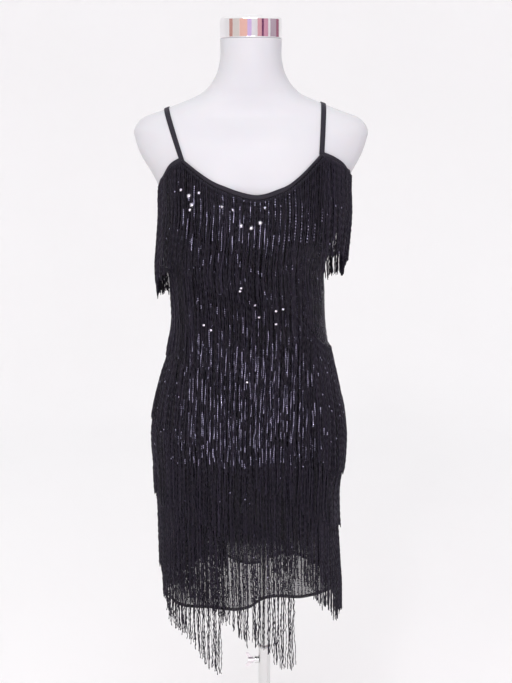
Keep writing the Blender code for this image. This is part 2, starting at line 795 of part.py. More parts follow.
def build_fringe_row(line, half, look, group):
    """One half of a tape with its locks: a comb, whose locks hang from the tape's lower edge."""
    first, last = reach(line, half)
    count = max(3, round((last - first) / LOCK_TURN))
    pitch = (last - first) / count
    margin = pitch * (1 - LOCK_SHARE) / 2
    points, faces = [], []
    previous = None
    for lock in range(count):
        start = first + lock * pitch
        edges = [start + margin, start + pitch - margin]
        stations = [start] * (lock == 0) + edges + [start + pitch] * (lock == count - 1)
        strings = {}
        for degrees in stations:
            turn = math.radians(degrees)
            string = place(turn, *hanging(turn, line, half))
            strings[degrees] = (len(points), string)
            points += list(string[:2])
            if previous is not None:
                here = len(points) - 2
                faces.append((previous, here, here + 1, previous + 1))
            previous = len(points) - 2
        (left, left_string), (right, right_string) = strings[edges[0]], strings[edges[1]]
        upper = (left + 1, right + 1)
        for step in range(1, LOCK_STEPS + 1):
            narrow = 1 - (1 - LOCK_TIP_SHARE) * (step / LOCK_STEPS) ** 1.5
            pair = (left_string[step + 1], right_string[step + 1])
            middle = (pair[0] + pair[1]) / 2
            lower = (len(points), len(points) + 1)
            points += [middle + (p - middle) * narrow for p in pair]
            faces.append((upper[0], upper[1], lower[1], lower[0]))
            upper = lower
    name = f"fringe_row_{line.number}_{half}"
    thicken(mesh_object(name, points, faces, look, group), FRINGE_WALL)


def build_fringe(look, group):
    for line in reversed(LINES_FROM_HEM):
        for half in ("front", "back"):
            build_fringe_row(line, half, look, group)


def build_carriers(group):
    """Two empties on the pole's axis: one rises with the inner tube, and one turns on it."""
    pole = bpy.data.objects.new("pole_height", None)
    torso = bpy.data.objects.new("form_swivel", None)
    torso.parent = pole
    for obj in list(group.objects):
        if obj.name not in STAND_PIECES:
            obj.parent = pole if obj.name == "inner_tube" else torso
    for empty in (pole, torso):
        group.objects.link(empty)


def main():
    clear_scene()
    group = new_collection("sequin_dress_on_form")
    cutters = new_collection("cutters")
    chrome = material("chrome", (0.80, 0.80, 0.82), 0.12, 1.0)
    plastic = material("black_plastic", (0.03, 0.03, 0.03), 0.4)
    form_skin = material("form_skin", (0.86, 0.86, 0.88), 0.55)
    net = material("sequin_net", (0.012, 0.012, 0.016), 0.5)
    binding = material("binding", (0.020, 0.019, 0.027), 0.7)
    fringe = material("fringe", (0.010, 0.010, 0.013), 0.6)

    build_base(chrome, group)
    build_outer_tube(chrome, group, cutters)
    build_bushing(plastic, group, cutters)
    build_clamp_screw(chrome, group, cutters)
    build_inner_tube(chrome, group)
    build_pole_socket(chrome, group)
    build_form(form_skin, group)
    build_neck_cap(chrome, group)
    build_panel("front_panel", "front", net, group)
    build_panel("back_panel", "back", net, group)
    build_bindings(binding, group)
    build_straps(binding, group)
    build_fringe(fringe, group)
    build_carriers(group)


main()
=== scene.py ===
import math

import bpy
import numpy as np
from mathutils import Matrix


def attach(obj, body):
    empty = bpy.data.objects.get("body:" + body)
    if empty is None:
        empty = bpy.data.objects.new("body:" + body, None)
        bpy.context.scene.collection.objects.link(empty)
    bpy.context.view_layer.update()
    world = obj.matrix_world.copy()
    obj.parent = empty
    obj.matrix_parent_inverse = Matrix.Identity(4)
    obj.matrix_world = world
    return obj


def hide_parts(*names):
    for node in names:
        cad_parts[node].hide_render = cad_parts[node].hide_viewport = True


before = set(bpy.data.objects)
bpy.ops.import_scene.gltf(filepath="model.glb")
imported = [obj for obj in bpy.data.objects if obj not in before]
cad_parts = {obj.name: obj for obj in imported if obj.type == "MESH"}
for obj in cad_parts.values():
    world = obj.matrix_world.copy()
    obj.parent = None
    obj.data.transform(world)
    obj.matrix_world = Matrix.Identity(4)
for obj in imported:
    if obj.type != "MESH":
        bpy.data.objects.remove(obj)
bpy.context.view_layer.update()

# Black net dress with sequins and six slanting tiers of fringe, on a white form with a chrome cap.
# Metres, Z up, front towards -Y. A place on the dress is named by its turn round the body
# (0 at the right seam seen from the front, 90 degrees in front, 180 at the left seam) and its height.

# The camera, and the small light that the sequins catch
view = {
    "place": (-0.0155, -2.03, 1.43),
    "tilt": 78.4,
    "lens": 62,
    "sensor": 36,
    "focal": 1176,  # the lens in pixels of the picture
    "pixels": (512, 683),
    "sparkle": (-0.5, -2.6, 2.7),
}

# The body and the cloth, in the same values as the CAD

bodyShape = {
    "x": -0.024,  # the form stands this far to the left of its pole
    "bottom": 0.815,
    "neckTop": 1.530,
    "squareness": 0.035,
    "bustHeight": 1.213,
    "bustSpread": 0.078,
    "bustDepth": 0.036,
    "bustWidth": 0.050,
    "bustAbove": 0.062,
    "bustBelow": 0.048,
    "bridge": 0.60,
    "foldStart": 0.800,
    "foldDepth": 0.0050,
    "foldCount": 5,
    "foldPhase": 0.6,
    "foldMost": 1.2,
}
roundScale = 0.15  # metres of cloth for one radian round the body, in every UV map
strapAcross = 0.62  # where the neckline meets the armholes and the straps are sewn
# height, middle, half width, depth in front, depth behind
formSections = np.array([
    (0.815, -0.005, 0.1605, 0.104, 0.112), (0.850, -0.005, 0.1640, 0.107, 0.119),
    (0.900, -0.004, 0.1585, 0.107, 0.118), (0.945, -0.003, 0.1490, 0.104, 0.108),
    (1.000, -0.001, 0.1355, 0.098, 0.093), (1.050, 0.000, 0.1270, 0.093, 0.084),
    (1.100, -0.002, 0.1270, 0.093, 0.084), (1.150, -0.005, 0.1295, 0.094, 0.089),
    (1.200, -0.001, 0.1425, 0.094, 0.095), (1.250, 0.002, 0.1535, 0.092, 0.098),
    (1.285, 0.001, 0.1590, 0.089, 0.098), (1.310, 0.001, 0.1710, 0.085, 0.095),
    (1.340, 0.000, 0.1880, 0.078, 0.089), (1.362, 0.000, 0.1955, 0.071, 0.081),
    (1.379, 0.000, 0.1985, 0.063, 0.072), (1.392, 0.000, 0.1920, 0.056, 0.063),
    (1.403, 0.000, 0.1785, 0.051, 0.058), (1.412, 0.000, 0.1530, 0.049, 0.056),
    (1.422, 0.000, 0.1275, 0.048, 0.055), (1.432, 0.000, 0.1020, 0.048, 0.054),
    (1.440, 0.000, 0.0850, 0.048, 0.053), (1.452, 0.000, 0.0714, 0.049, 0.052),
    (1.470, 0.000, 0.0595, 0.050, 0.051), (1.493, 0.000, 0.0525, 0.0505, 0.0510),
    (1.530, 0.000, 0.0515, 0.0515, 0.0515),
])
skirtSections = np.array([
    (0.520, -0.001, 0.1530, 0.101, 0.108), (0.560, -0.001, 0.1525, 0.101, 0.109),
    (0.600, -0.002, 0.1520, 0.102, 0.110), (0.650, -0.003, 0.1510, 0.102, 0.111),
    (0.700, -0.004, 0.1500, 0.103, 0.114), (0.750, -0.005, 0.1520, 0.104, 0.117),
    (0.800, -0.004, 0.1600, 0.105, 0.118),
])
clothSections = np.concatenate([skirtSections, formSections[1:]])

# across from the left seam (-1) to the right seam (1), and height
edges = {
    "leftArmhole": [(-1, 1.268), (-0.949, 1.290), (-0.855, 1.307), (-0.741, 1.325), (-0.620, 1.336)],
    "neckline": [(-0.620, 1.336), (-0.500, 1.313), (-0.385, 1.298), (-0.260, 1.289), (-0.120, 1.281),
                 (0.070, 1.276), (0.260, 1.284), (0.390, 1.294), (0.500, 1.313), (0.620, 1.345)],
    "rightArmhole": [(0.620, 1.345), (0.745, 1.336), (0.893, 1.319), (0.970, 1.304), (1, 1.283)],
    "backTop": [(-1, 1.268), (-0.643, 1.262), (-0.300, 1.243), (0, 1.237), (0.300, 1.243),
                (0.643, 1.262), (1, 1.283)],
    "frontHem": [(-1, 0.550), (-0.80, 0.549), (-0.50, 0.553), (-0.12, 0.551), (0.00, 0.557), (0.12, 0.571),
                 (0.60, 0.571), (1, 0.562)],
    "backHem": [(-1, 0.550), (-0.45, 0.577), (0, 0.550), (0.45, 0.577), (1, 0.562)],
}


def smoothCurve(places, values, at):
    # A cubic between neighbours: each slope is the mean of the rises beside it, the shorter step
    # counting for more. s is the share of the way from one place to the next.
    places, values = np.asarray(places, float), np.asarray(values, float)
    at = np.clip(at, places[0], places[-1])
    steps = np.diff(places)
    rises = np.diff(values) / steps
    slopes = np.concatenate([rises[:1], np.zeros(len(places) - 2), rises[-1:]])
    slopes[1:-1] = (rises[:-1] * steps[1:] + rises[1:] * steps[:-1]) / (steps[1:] + steps[:-1])
    k = np.clip(np.searchsorted(places, at, side="right") - 1, 0, len(steps) - 1)
    s = (at - places[k]) / steps[k]
    return ((1 + 2 * s) * (1 - s) ** 2 * values[k] + s * (1 - s) ** 2 * steps[k] * slopes[k]
            + s * s * (3 - 2 * s) * values[k + 1] + s * s * (s - 1) * steps[k] * slopes[k + 1])


def bustRise(across, height, bridged):
    # Two round hills, e to the minus (distance / width) squared each way. Cloth bridges the middle:
    # there it keeps at least the bridge's share of a hill.
    b = bodyShape
    spread = np.where(height > b["bustHeight"], b["bustAbove"], b["bustBelow"])
    rise = np.exp(-(((height - b["bustHeight"]) / spread) ** 2))
    beside = np.abs(across) - b["bustSpread"]
    hill = np.exp(-((beside / b["bustWidth"]) ** 2))
    if bridged:
        ramp = np.clip(np.abs(across) / b["bustSpread"], 0, 1) ** 2
        hill = np.where(beside < 0, np.maximum(hill, b["bridge"] + (1 - b["bridge"]) * ramp), hill)
    return b["bustDepth"] * rise * hill


def sizesAt(turn, height, cloth=True):
    # Middle, half width and depth of the section at this height. Below the hips the cloth's half
    # sizes gain a wave, depth x cosine(count x turn + phase), that grows towards the hem.
    table = clothSections if cloth else formSections
    middle, halfWidth, front, back = (smoothCurve(table[:, 0], table[:, k], height) for k in (1, 2, 3, 4))
    atFront = np.sin(turn) >= 0
    depth = np.where(atFront, front, back)
    hill = bustRise(halfWidth * np.cos(turn), height, cloth) * np.abs(np.sin(turn))
    depth = depth + np.where(atFront, hill, 0)
    if cloth:
        fallen = (bodyShape["foldStart"] - height) / (bodyShape["foldStart"] - skirtSections[1, 0])
        wave = np.cos(bodyShape["foldCount"] * turn + bodyShape["foldPhase"])
        wave = bodyShape["foldDepth"] * np.clip(fallen, 0, bodyShape["foldMost"]) * wave
        halfWidth, depth = halfWidth + wave, depth + wave
    return middle, halfWidth, depth


def squared(turn):
    # 1 + squareness x sine(2 x turn) squared, so a section is a little fuller than an ellipse
    return 1 + bodyShape["squareness"] * np.sin(2 * turn) ** 2


def acrossAt(turn):
    return np.cos(turn) * squared(turn)


def placeAt(turn, height, middle, halfWidth, depth):
    x = bodyShape["x"] + middle + halfWidth * squared(turn) * np.cos(turn)
    return np.stack([x, -depth * squared(turn) * np.sin(turn), height + 0 * turn], axis=-1)


def surfaceAt(turn, height, off=0.0, cloth=True):
    # The point of the section, moved out by off along the cross product of the two small steps
    turn, height = np.broadcast_arrays(np.asarray(turn, float), np.asarray(height, float))
    step = 1e-4
    point, beside, above = (placeAt(a, h, *sizesAt(a, h, cloth))
                            for a, h in ((turn, height), (turn + step, height), (turn, height + step)))
    return point + np.asarray(off)[..., None] * unit(np.cross(above - point, beside - point))


def runningSum(steps):
    return np.concatenate([[0], np.cumsum(steps)])


def unit(ways):
    return ways / np.linalg.norm(ways, axis=-1, keepdims=True)


def edgeHeight(name, turn):
    table = np.array(edges[name])
    return smoothCurve(table[:, 0], table[:, 1], acrossAt(turn))


def topHeight(turn, half):
    if half == "back":
        return edgeHeight("backTop", turn)
    across = acrossAt(turn)
    beside = np.where(across > 0, edgeHeight("rightArmhole", turn), edgeHeight("leftArmhole", turn))
    return np.where(np.abs(across) < strapAcross, edgeHeight("neckline", turn), beside)


def hemHeight(turn, half):
    return edgeHeight("frontHem" if half == "front" else "backHem", turn)


# Small tools for meshes and materials


def newPiece(name, points, faceSets, look, body="torso", uv=None, kinds=None):
    # Faces come as arrays of corner numbers, one array for each number of sides. uv holds one pair
    # for each point, and kinds one material number for each face.
    points = np.asarray(points, float).reshape(-1, 3)
    faceSets = [np.asarray(f, int) for f in faceSets if len(f)]
    corners = np.concatenate([f.ravel() for f in faceSets])
    sides = np.concatenate([np.full(len(f), f.shape[1]) for f in faceSets])
    mesh = bpy.data.meshes.new(name)
    mesh.vertices.add(len(points))
    mesh.vertices.foreach_set("co", points.ravel())
    mesh.loops.add(len(corners))
    mesh.loops.foreach_set("vertex_index", corners)
    mesh.polygons.add(len(sides))
    mesh.polygons.foreach_set("loop_start", runningSum(sides[:-1]))
    mesh.polygons.foreach_set("use_smooth", np.ones(len(sides), bool))
    looks = look if isinstance(look, (list, tuple)) else [look]
    for each in looks:
        mesh.materials.append(each)
    if kinds is not None:
        mesh.polygons.foreach_set("material_index", np.asarray(kinds, int))
    if uv is not None:
        layer = mesh.uv_layers.new(name="alongCloth")
        layer.data.foreach_set("uv", np.asarray(uv, float).reshape(-1, 2)[corners].ravel())
    mesh.update(calc_edges=True)
    piece = bpy.data.objects.new(name, mesh)
    bpy.context.scene.collection.objects.link(piece)
    if body:
        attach(piece, body)
    return piece


def gridFaces(rows, columns, closedAcross=False):
    # Quads between neighbours of a grid that is stored row by row
    r = np.arange(rows - 1)[:, None]
    c = np.arange(columns if closedAcross else columns - 1)[None, :]
    right, below = (c + 1) % columns, r + 1
    quads = [r * columns + c, r * columns + right, below * columns + right, below * columns + c]
    return np.stack(np.broadcast_arrays(*quads), axis=-1).reshape(-1, 4)


def carried(rows, columns, turned=False):
    # A closed profile of this many columns carried along this many rows, with a face at each end.
    # A profile drawn the other way round has its faces turned over.
    ends = [np.arange(columns)[None, ::-1], (rows - 1) * columns + np.arange(columns)[None, :]]
    faces = [gridFaces(rows, columns, closedAcross=True), ends[0], ends[1]]
    return [each[:, ::-1] for each in faces] if turned else faces


def addNode(look, kind, **settings):
    node = look.node_tree.nodes.new("ShaderNode" + kind)
    for key, value in settings.items():
        setattr(node, key, value)
    return node


def link(look, start, output, end, entry):
    look.node_tree.links.new(start.outputs[output], end.inputs[entry])


def newLook(name, colour, roughness, **sockets):
    look = bpy.data.materials.new(name)
    look.use_nodes = True
    shader = look.node_tree.nodes["Principled BSDF"]
    shader.inputs["Base Color"].default_value = (*colour, 1)
    shader.inputs["Roughness"].default_value = roughness
    for key, value in sockets.items():
        shader.inputs[key.replace("_", " ")].default_value = value
    return look, shader


def mapped(look, source, scale=(1, 1, 1)):
    place = addNode(look, "TexCoord")
    mapping = addNode(look, "Mapping")
    mapping.inputs["Scale"].default_value = scale
    link(look, place, source, mapping, "Vector")
    return mapping


def colourRamp(look, source, output, stops):
    ramp = addNode(look, "ValToRGB")
    bar = ramp.color_ramp
    while len(bar.elements) < len(stops):
        bar.elements.new(0.5)
    for element, (at, colour) in zip(bar.elements, stops):
        element.position = at
        element.color = (*colour, 1)
    link(look, source, output, ramp, "Fac")
    return ramp


def addColours(look, shader, source, output, stops):
    link(look, colourRamp(look, source, output, stops), "Color", shader, "Base Color")


def addRoughness(look, shader, source, smooth, rough):
    spread = addNode(look, "MapRange")
    spread.inputs["To Min"].default_value = smooth
    spread.inputs["To Max"].default_value = rough
    link(look, source, "Fac", spread, "Value")
    link(look, spread, "Result", shader, "Roughness")


def addBump(look, shader, source, output, strength, distance):
    bump = addNode(look, "Bump")
    bump.inputs["Strength"].default_value = strength
    bump.inputs["Distance"].default_value = distance
    link(look, source, output, bump, "Height")
    link(look, bump, "Normal", shader, "Normal")


def noiseOn(look, mapping, scale, detail):
    noise = addNode(look, "TexNoise")
    noise.inputs["Scale"].default_value = scale
    noise.inputs["Detail"].default_value = detail
    link(look, mapping, "Vector", noise, "Vector")
    return noise


def cloudyLook(name, colour, roughness, scale, detail, stops, mapScale=(1, 1, 1), **sockets):
    # A surface whose colour follows a noise through the stops
    look, shader = newLook(name, colour, roughness, **sockets)
    cloud = noiseOn(look, mapped(look, "Object", mapScale), scale, detail)
    addColours(look, shader, cloud, "Fac", stops)
    return look, shader, cloud


def ribsOn(look, perMetre, distortion):
    # Even waves along the cloth's UV map
    ribs = addNode(look, "TexWave", wave_type="BANDS", bands_direction="Y", wave_profile="SIN")
    ribs.inputs["Scale"].default_value = 0.5
    ribs.inputs["Distortion"].default_value = distortion
    link(look, mapped(look, "UV", (1, perMetre, 1)), "Vector", ribs, "Vector")
    return ribs


# Materials

purpleSheen = (0.66, 0.60, 0.95, 1)


def yarnLook():
    # Chainette yarn: dark, a little purple, with fine loops along each strand
    look, shader = newLook("fringeYarn", (0.012, 0.011, 0.016), 0.55, Sheen_Weight=0.06,
                           Sheen_Roughness=0.4, Specular_IOR_Level=0.22)
    shader.inputs["Sheen Tint"].default_value = purpleSheen
    tone = noiseOn(look, mapped(look, "UV"), 0.9, 1)
    addColours(look, shader, tone, "Fac", [(0.35, (0.0040, 0.0032, 0.0062)), (0.70, (0.019, 0.015, 0.029))])
    addBump(look, shader, ribsOn(look, 260, 1.5), "Fac", 0.8, 0.0004)
    return look


def netLook(name, open, lined=0.0):
    # Fine net: threads round small cells, open between them. It is lined down to below the hips:
    # the lining starts where half the height passes the ramp's stops.
    look, shader = newLook(name, (0.010, 0.009, 0.013), 0.6, Specular_IOR_Level=0.25)
    cells = addNode(look, "TexVoronoi", feature="DISTANCE_TO_EDGE")
    cells.inputs["Scale"].default_value = 620
    cells.inputs["Randomness"].default_value = 0.35
    link(look, mapped(look, "UV", (1, 0.8, 1)), "Vector", cells, "Vector")
    threads = colourRamp(look, cells, "Distance", [(0.05, (1, 1, 1)), (0.15, (open, open, open))])
    height = addNode(look, "SeparateXYZ")
    link(look, mapped(look, "UV", (1, 0.5, 1)), "Vector", height, "Vector")
    lining = colourRamp(look, height, "Y", [(0.330, (0, 0, 0)), (0.345, (lined, lined, lined))])
    cover = addNode(look, "Math", operation="MAXIMUM")
    link(look, threads, "Color", cover, 0)
    link(look, lining, "Color", cover, 1)
    link(look, cover, "Value", shader, "Alpha")
    tone = noiseOn(look, mapped(look, "UV"), 55, 3)
    addColours(look, shader, tone, "Fac", [(0.3, (0.004, 0.0034, 0.006)), (0.75, (0.012, 0.010, 0.018))])
    addBump(look, shader, threads, "Color", 0.5, 0.0002)
    return look


def elasticLook():
    # Knitted elastic: fine ribs across it, a purple-black yarn, and painted shade of a groove beside each
    # edge
    look, shader = newLook("knittedElastic", (0.030, 0.027, 0.042), 0.62, Sheen_Weight=0.05,
                           Sheen_Roughness=0.45, Specular_IOR_Level=0.3)
    shader.inputs["Sheen Tint"].default_value = purpleSheen
    across = addNode(look, "SeparateXYZ")
    link(look, mapped(look, "UV"), "Vector", across, "Vector")
    # darker towards each edge of the band: painted groove shade
    addColours(look, shader, across, "X", [(0.00, (0.005, 0.0045, 0.008)), (0.08, (0.013, 0.011, 0.020)),
                                           (0.32, (0.012, 0.010, 0.018)), (0.40, (0.006, 0.005, 0.009)),
                                           (0.50, (0.006, 0.005, 0.009)), (1.00, (0.007, 0.006, 0.011))])
    addBump(look, shader, ribsOn(look, 520, 0.6), "Fac", 0.7, 0.0003)
    return look


def sequinLook(name, dark, light, alongZ=1):
    # A mirror whose tone changes from sequin to sequin, and more slowly upright where alongZ is small
    stops = [(0.38, dark), (0.66, light)]
    return cloudyLook(name, dark, 0.20, 260, 1, stops, (1, 1, alongZ), Metallic=1.0)[0]


def formLook():
    # White painted shell, very slightly cloudy
    stops = [(0.3, (0.580, 0.592, 0.622)), (0.7, (0.608, 0.618, 0.642))]
    look, shader, _ = cloudyLook("formSkin", (0.595, 0.605, 0.635), 0.48, 9, 3, stops,
                                 Subsurface_Weight=0.08, Subsurface_Scale=0.01, Specular_IOR_Level=0.4)
    grain = noiseOn(look, mapped(look, "Object"), 900, 2)
    addBump(look, shader, grain, "Fac", 0.12, 0.0002)
    return look


def chromeLook():
    look, shader = newLook("chrome", (0.86, 0.85, 0.86), 0.06, Metallic=1.0)
    addRoughness(look, shader, noiseOn(look, mapped(look, "Object", (1, 1, 6)), 240, 4), 0.03, 0.13)
    return look


def poleLook():
    # The pole is chrome too, with fine lines along it
    look, shader = newLook("brushedPole", (0.70, 0.705, 0.70), 0.22, Metallic=1.0)
    lines = noiseOn(look, mapped(look, "Object", (400, 400, 6)), 2, 3)
    addRoughness(look, shader, lines, 0.16, 0.34)
    addBump(look, shader, lines, "Fac", 0.05, 0.0001)
    return look


def plasticLook():
    # Milky plastic
    stops = [(0.3, (0.50, 0.50, 0.505)), (0.7, (0.60, 0.60, 0.61))]
    look, shader, grain = cloudyLook("milkyPlastic", (0.55, 0.55, 0.55), 0.42, 1400, 2, stops,
                                     Subsurface_Weight=0.1, Subsurface_Scale=0.002)
    addBump(look, shader, grain, "Fac", 0.3, 0.0002)
    return look


def screwLook():
    # Plated metal, duller than the cap
    stops = [(0.3, (0.76, 0.71, 0.74)), (0.7, (0.86, 0.82, 0.84))]
    return cloudyLook("satinPlate", (0.80, 0.76, 0.78), 0.34, 700, 3, stops, Metallic=1.0)[0]


yarn, elastic = yarnLook(), elasticLook()
net, hemCloth = netLook("sheerNet", 0.20, 0.80), netLook("turnedNet", 0.60)
sequin = sequinLook("blackSequin", (0.022, 0.019, 0.032), (0.12, 0.108, 0.16))
# the strung sequins are far lighter mirrors than the net's black ones: partly a painted highlight for the
# lit streaks
strungSequinHighlight = sequinLook("strungSequinHighlight", (0.06, 0.056, 0.09), (0.64, 0.62, 0.86), 0.2)
# near-white mirror sequins only at the glint places: partly a painted highlight
glintSequinHighlight = sequinLook("glintSequinHighlight", (0.85, 0.82, 0.98), (0.97, 0.95, 1.0))
skin, chrome, pole, plastic, satin = formLook(), chromeLook(), poleLook(), plasticLook(), screwLook()
print("materials made")

# The form and its stand

formPiece = {
    "around": 128,
    "levels": 66,
    "upperLevels": 70,
    "shoulder": 1.36,  # the levels lie closer above this height
    "edgeRound": 0.004,
    "roundAngles": (30, 60, 90),
}
capPiece = {"low": 1.5303, "high": 1.5663, "radius": 0.0520, "middle": 0.0001, "around": 128}


def buildForm():
    # Rings through the sections, closest at the shoulders, with a small round at the bottom edge
    shape = formPiece
    above = np.linspace(bodyShape["neckTop"], shape["shoulder"], shape["upperLevels"])
    below = np.linspace(shape["shoulder"], bodyShape["bottom"] + shape["edgeRound"], shape["levels"])
    heights = np.concatenate([above[:-1], below])
    turn = np.linspace(0, 2 * math.pi, shape["around"], endpoint=False)
    grid = surfaceAt(turn[None, :] + 0 * heights[:, None], heights[:, None], 0.0, cloth=False)
    # The round draws in by radius x (1 - cosine) as it falls by radius x sine
    ring = grid[-1]
    middle = ring.mean(axis=0)
    angles = np.radians(shape["roundAngles"])[:, None]
    inward = unit(middle - ring)
    under = ring[None] + shape["edgeRound"] * ((1 - np.cos(angles))[..., None] * inward[None]
                                               - np.sin(angles)[..., None] * np.array([0, 0, 1.0]))
    points = np.concatenate([grid, under])
    piece = newPiece("form_body", points, carried(*points.shape[:2]), skin)
    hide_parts("form")


def buildCap():
    # A profile of radius and height turned about the form's axis
    low, high, radius = capPiece["low"], capPiece["high"], capPiece["radius"]
    profile = np.array([
        (capPiece["middle"], high), (radius * 0.6, high - 0.0005), (radius - 0.0040, high - 0.0014),
        (radius - 0.0016, high - 0.0026), (radius - 0.0004, high - 0.0042), (radius, high - 0.0060),
        (radius, high - 0.0066), (radius, low + 0.0022), (radius, low + 0.0016),
        (radius - 0.0005, low + 0.0005), (radius - 0.0016, low), (capPiece["middle"], low)])
    turn = np.linspace(0, 2 * math.pi, capPiece["around"], endpoint=False)
    r, z = profile[:, :1], profile[:, 1:]
    points = np.stack([bodyShape["x"] + r * np.cos(turn), -r * np.sin(turn), z + 0 * turn], axis=-1)
    piece = newPiece("cap_chrome", points, carried(*points.shape[:2]), chrome)
    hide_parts("neck_cap")


buildForm()
buildCap()
cadLooks = {"base": chrome, "outer_tube": pole, "inner_tube": pole, "bushing": plastic,
            "clamp_screw": satin, "pole_socket": chrome}
for name, look in cadLooks.items():
    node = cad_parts[name]
    node.data.materials.clear()
    node.data.materials.append(look)
print("form and stand made")

# The net of the dress

netPiece = {"offForm": 0.0018, "thickness": 0.0005, "columns": 81, "rows": 90, "belowTop": 0.002,
            "seamGap": 0.002}
hemPiece = {"height": 0.0055, "wall": 0.0012, "below": 0.0006, "inside": 0.0004, "columns": 260,
            "seamGap": 0.003}


def halfTurns(half, gap, count):
    # Even turns from one seam to the other, a small gap short of each
    start = 0 if half == "front" else math.pi
    return np.linspace(start + gap, start + math.pi - gap, count)


def clothUv(turn, height):
    return np.stack([roundScale * turn + 0 * height, height], axis=-1)


def buildNet(name, half, node):
    turn = halfTurns(half, netPiece["seamGap"], netPiece["columns"])
    share = np.linspace(0, 1, netPiece["rows"])[:, None]
    top, hem = topHeight(turn, half) - netPiece["belowTop"], hemHeight(turn, half)
    height = top + (hem - top) * share
    points = surfaceAt(turn + 0 * height, height, netPiece["offForm"])
    piece = newPiece(name, points, [gridFaces(*height.shape)], net, uv=clothUv(turn, height))
    wall = piece.modifiers.new("wall", "SOLIDIFY")
    wall.thickness = netPiece["thickness"]
    wall.offset = 1.0
    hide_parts(node)
    return piece


def buildHem(name, half):
    # The net turned up twice along the hem: a flat band carried along it
    turn = halfTurns(half, hemPiece["seamGap"], hemPiece["columns"])[:, None]
    up, outwards = np.array([0, 0.5, 1, 1, 0.5, 0]), np.array([0, 0, 0, 1, 1, 1])
    height = hemHeight(turn, half) - hemPiece["below"] + hemPiece["height"] * up[None, :]
    off = netPiece["offForm"] - hemPiece["inside"] + hemPiece["wall"] * outwards + 0 * height
    points = surfaceAt(turn + 0 * height, height, off)
    return newPiece(name, points, carried(*height.shape, turned=True), hemCloth, uv=clothUv(turn, height))


netFront = buildNet("net_front", "front", "front_panel")
netBack = buildNet("net_back", "back", "back_panel")
hemFront, hemBack = buildHem("hem_front", "front"), buildHem("hem_back", "back")
print("net made")

# Fringe

fringe = {
    "tapeHeight": 0.010,
    "topTapeHeight": 0.004,  # the top row's tape is sewn just under the binding
    "belowBinding": 0.0085,
    "wall": 0.0012,
    "offForm": 0.0036,
    "lift": 0.0040,
    "layerGap": 0.0020,
    "length": 0.225,
    "topLength": 0.165,
    "waistLength": 0.095,  # how much longer the top row is over the right waist
    "seamShort": 0.14,  # and how much shorter at the right seam, as a share
    "uneven": 0.03,
    "unevenWaves": 13,
    "endMargin": 0.6,  # degrees from each seam
    "aboveTape": 0.006,  # a row counts as there from so far above its tape
    "belowTips": 0.012,
    "besideTape": 0.02,
    # for each row: between strands, a strand's radius, one step along it, its crimp and its clumping
    "pitch": {1: 0.0020, 2: 0.0023, 3: 0.0023, 4: 0.0022, 5: 0.0018, 6: 0.0017},
    "radius": {1: 0.00088, 2: 0.00100, 3: 0.00100, 4: 0.00090, 5: 0.00080, 6: 0.00074},
    "knot": {1: 0.0060, 2: 0.0064, 3: 0.0064, 4: 0.0060, 5: 0.0050, 6: 0.0048},
    "crinkle": {1: 0.00018, 2: 0.00018, 3: 0.00018, 4: 0.00028, 5: 0.00055, 6: 0.00065},
    "clump": {1: 0.0014, 2: 0.0012, 3: 0.0012, 4: 0.0016, 5: 0.0020, 6: 0.0020},
    "sway": 0.0011,
    "clumpPitch": 0.0090,
    "ragged": 0.022,
    "raggedMost": (-0.09, 0.05),
    "sideShare": 0.7,
    "topStart": 0.0022,  # where a strand starts above its tape's top edge, in the top row and the others
    "start": -0.0006,
    "lean": 0.0022,
    "offTape": (0.0012, 0.0024),
    "twist": 1.1,
    "swell": 0.22,
}
# number, heights at across -1, -0.5, 0, 0.5 and 1, how far across it runs in front and behind,
# and how much it hangs plumb where the cloth draws in
tapeLines = [
    (6, (0.780, 0.682, 0.620, 0.600, 0.590), -0.32, -0.30, 0.3),
    (5, (0.833, 0.785, 0.722, 0.672, 0.640), 0.48, -0.26, 0.3),
    (4, (0.969, 0.936, 0.894, 0.836, 0.735), 1.0, 1.0, 0.3),
    (3, (1.108, 1.065, 1.018, 0.975, 0.904), 1.0, 1.0, 0.15),
    (2, (1.234, 1.200, 1.158, 1.090, 1.004), 1.0, 1.0, 0.06),
    (1, None, 1.0, 1.0, 1.0),
]
heightStep = 0.003
hangHeights = np.arange(1.36, 0.38, -heightStep)


def tapeTop(line, turn, half):
    if line[0] == 1:
        return topHeight(turn, half) - fringe["belowBinding"]
    return smoothCurve((-1, -0.5, 0, 0.5, 1), line[1], acrossAt(turn))


def tapeReach(line, half):
    # First and last turn of one half of a tape: it starts at the left seam
    end = math.acos(line[2] if half == "front" else line[3])
    margin = math.radians(fringe["endMargin"])
    if half == "front":
        return end + margin, math.pi - margin
    return math.pi + margin, 2 * math.pi - end - margin


def fallLength(line, turn):
    # The top row is a little shorter at the right seam, and longer in front over the right waist
    if line[0] == 1:
        across = acrossAt(turn)
        right = np.interp(across, (0.55, 0.95), (0, 1))
        longer = np.interp(across, (0.12, 0.36, 0.59, 0.68), (0, 1, 1, 0)) * (np.sin(turn) > 0)
        return fringe["topLength"] * (1 - fringe["seamShort"] * right) + fringe["waistLength"] * longer
    return fringe["length"] * (1 + fringe["uneven"] * np.sin(fringe["unevenWaves"] * turn + line[0]))


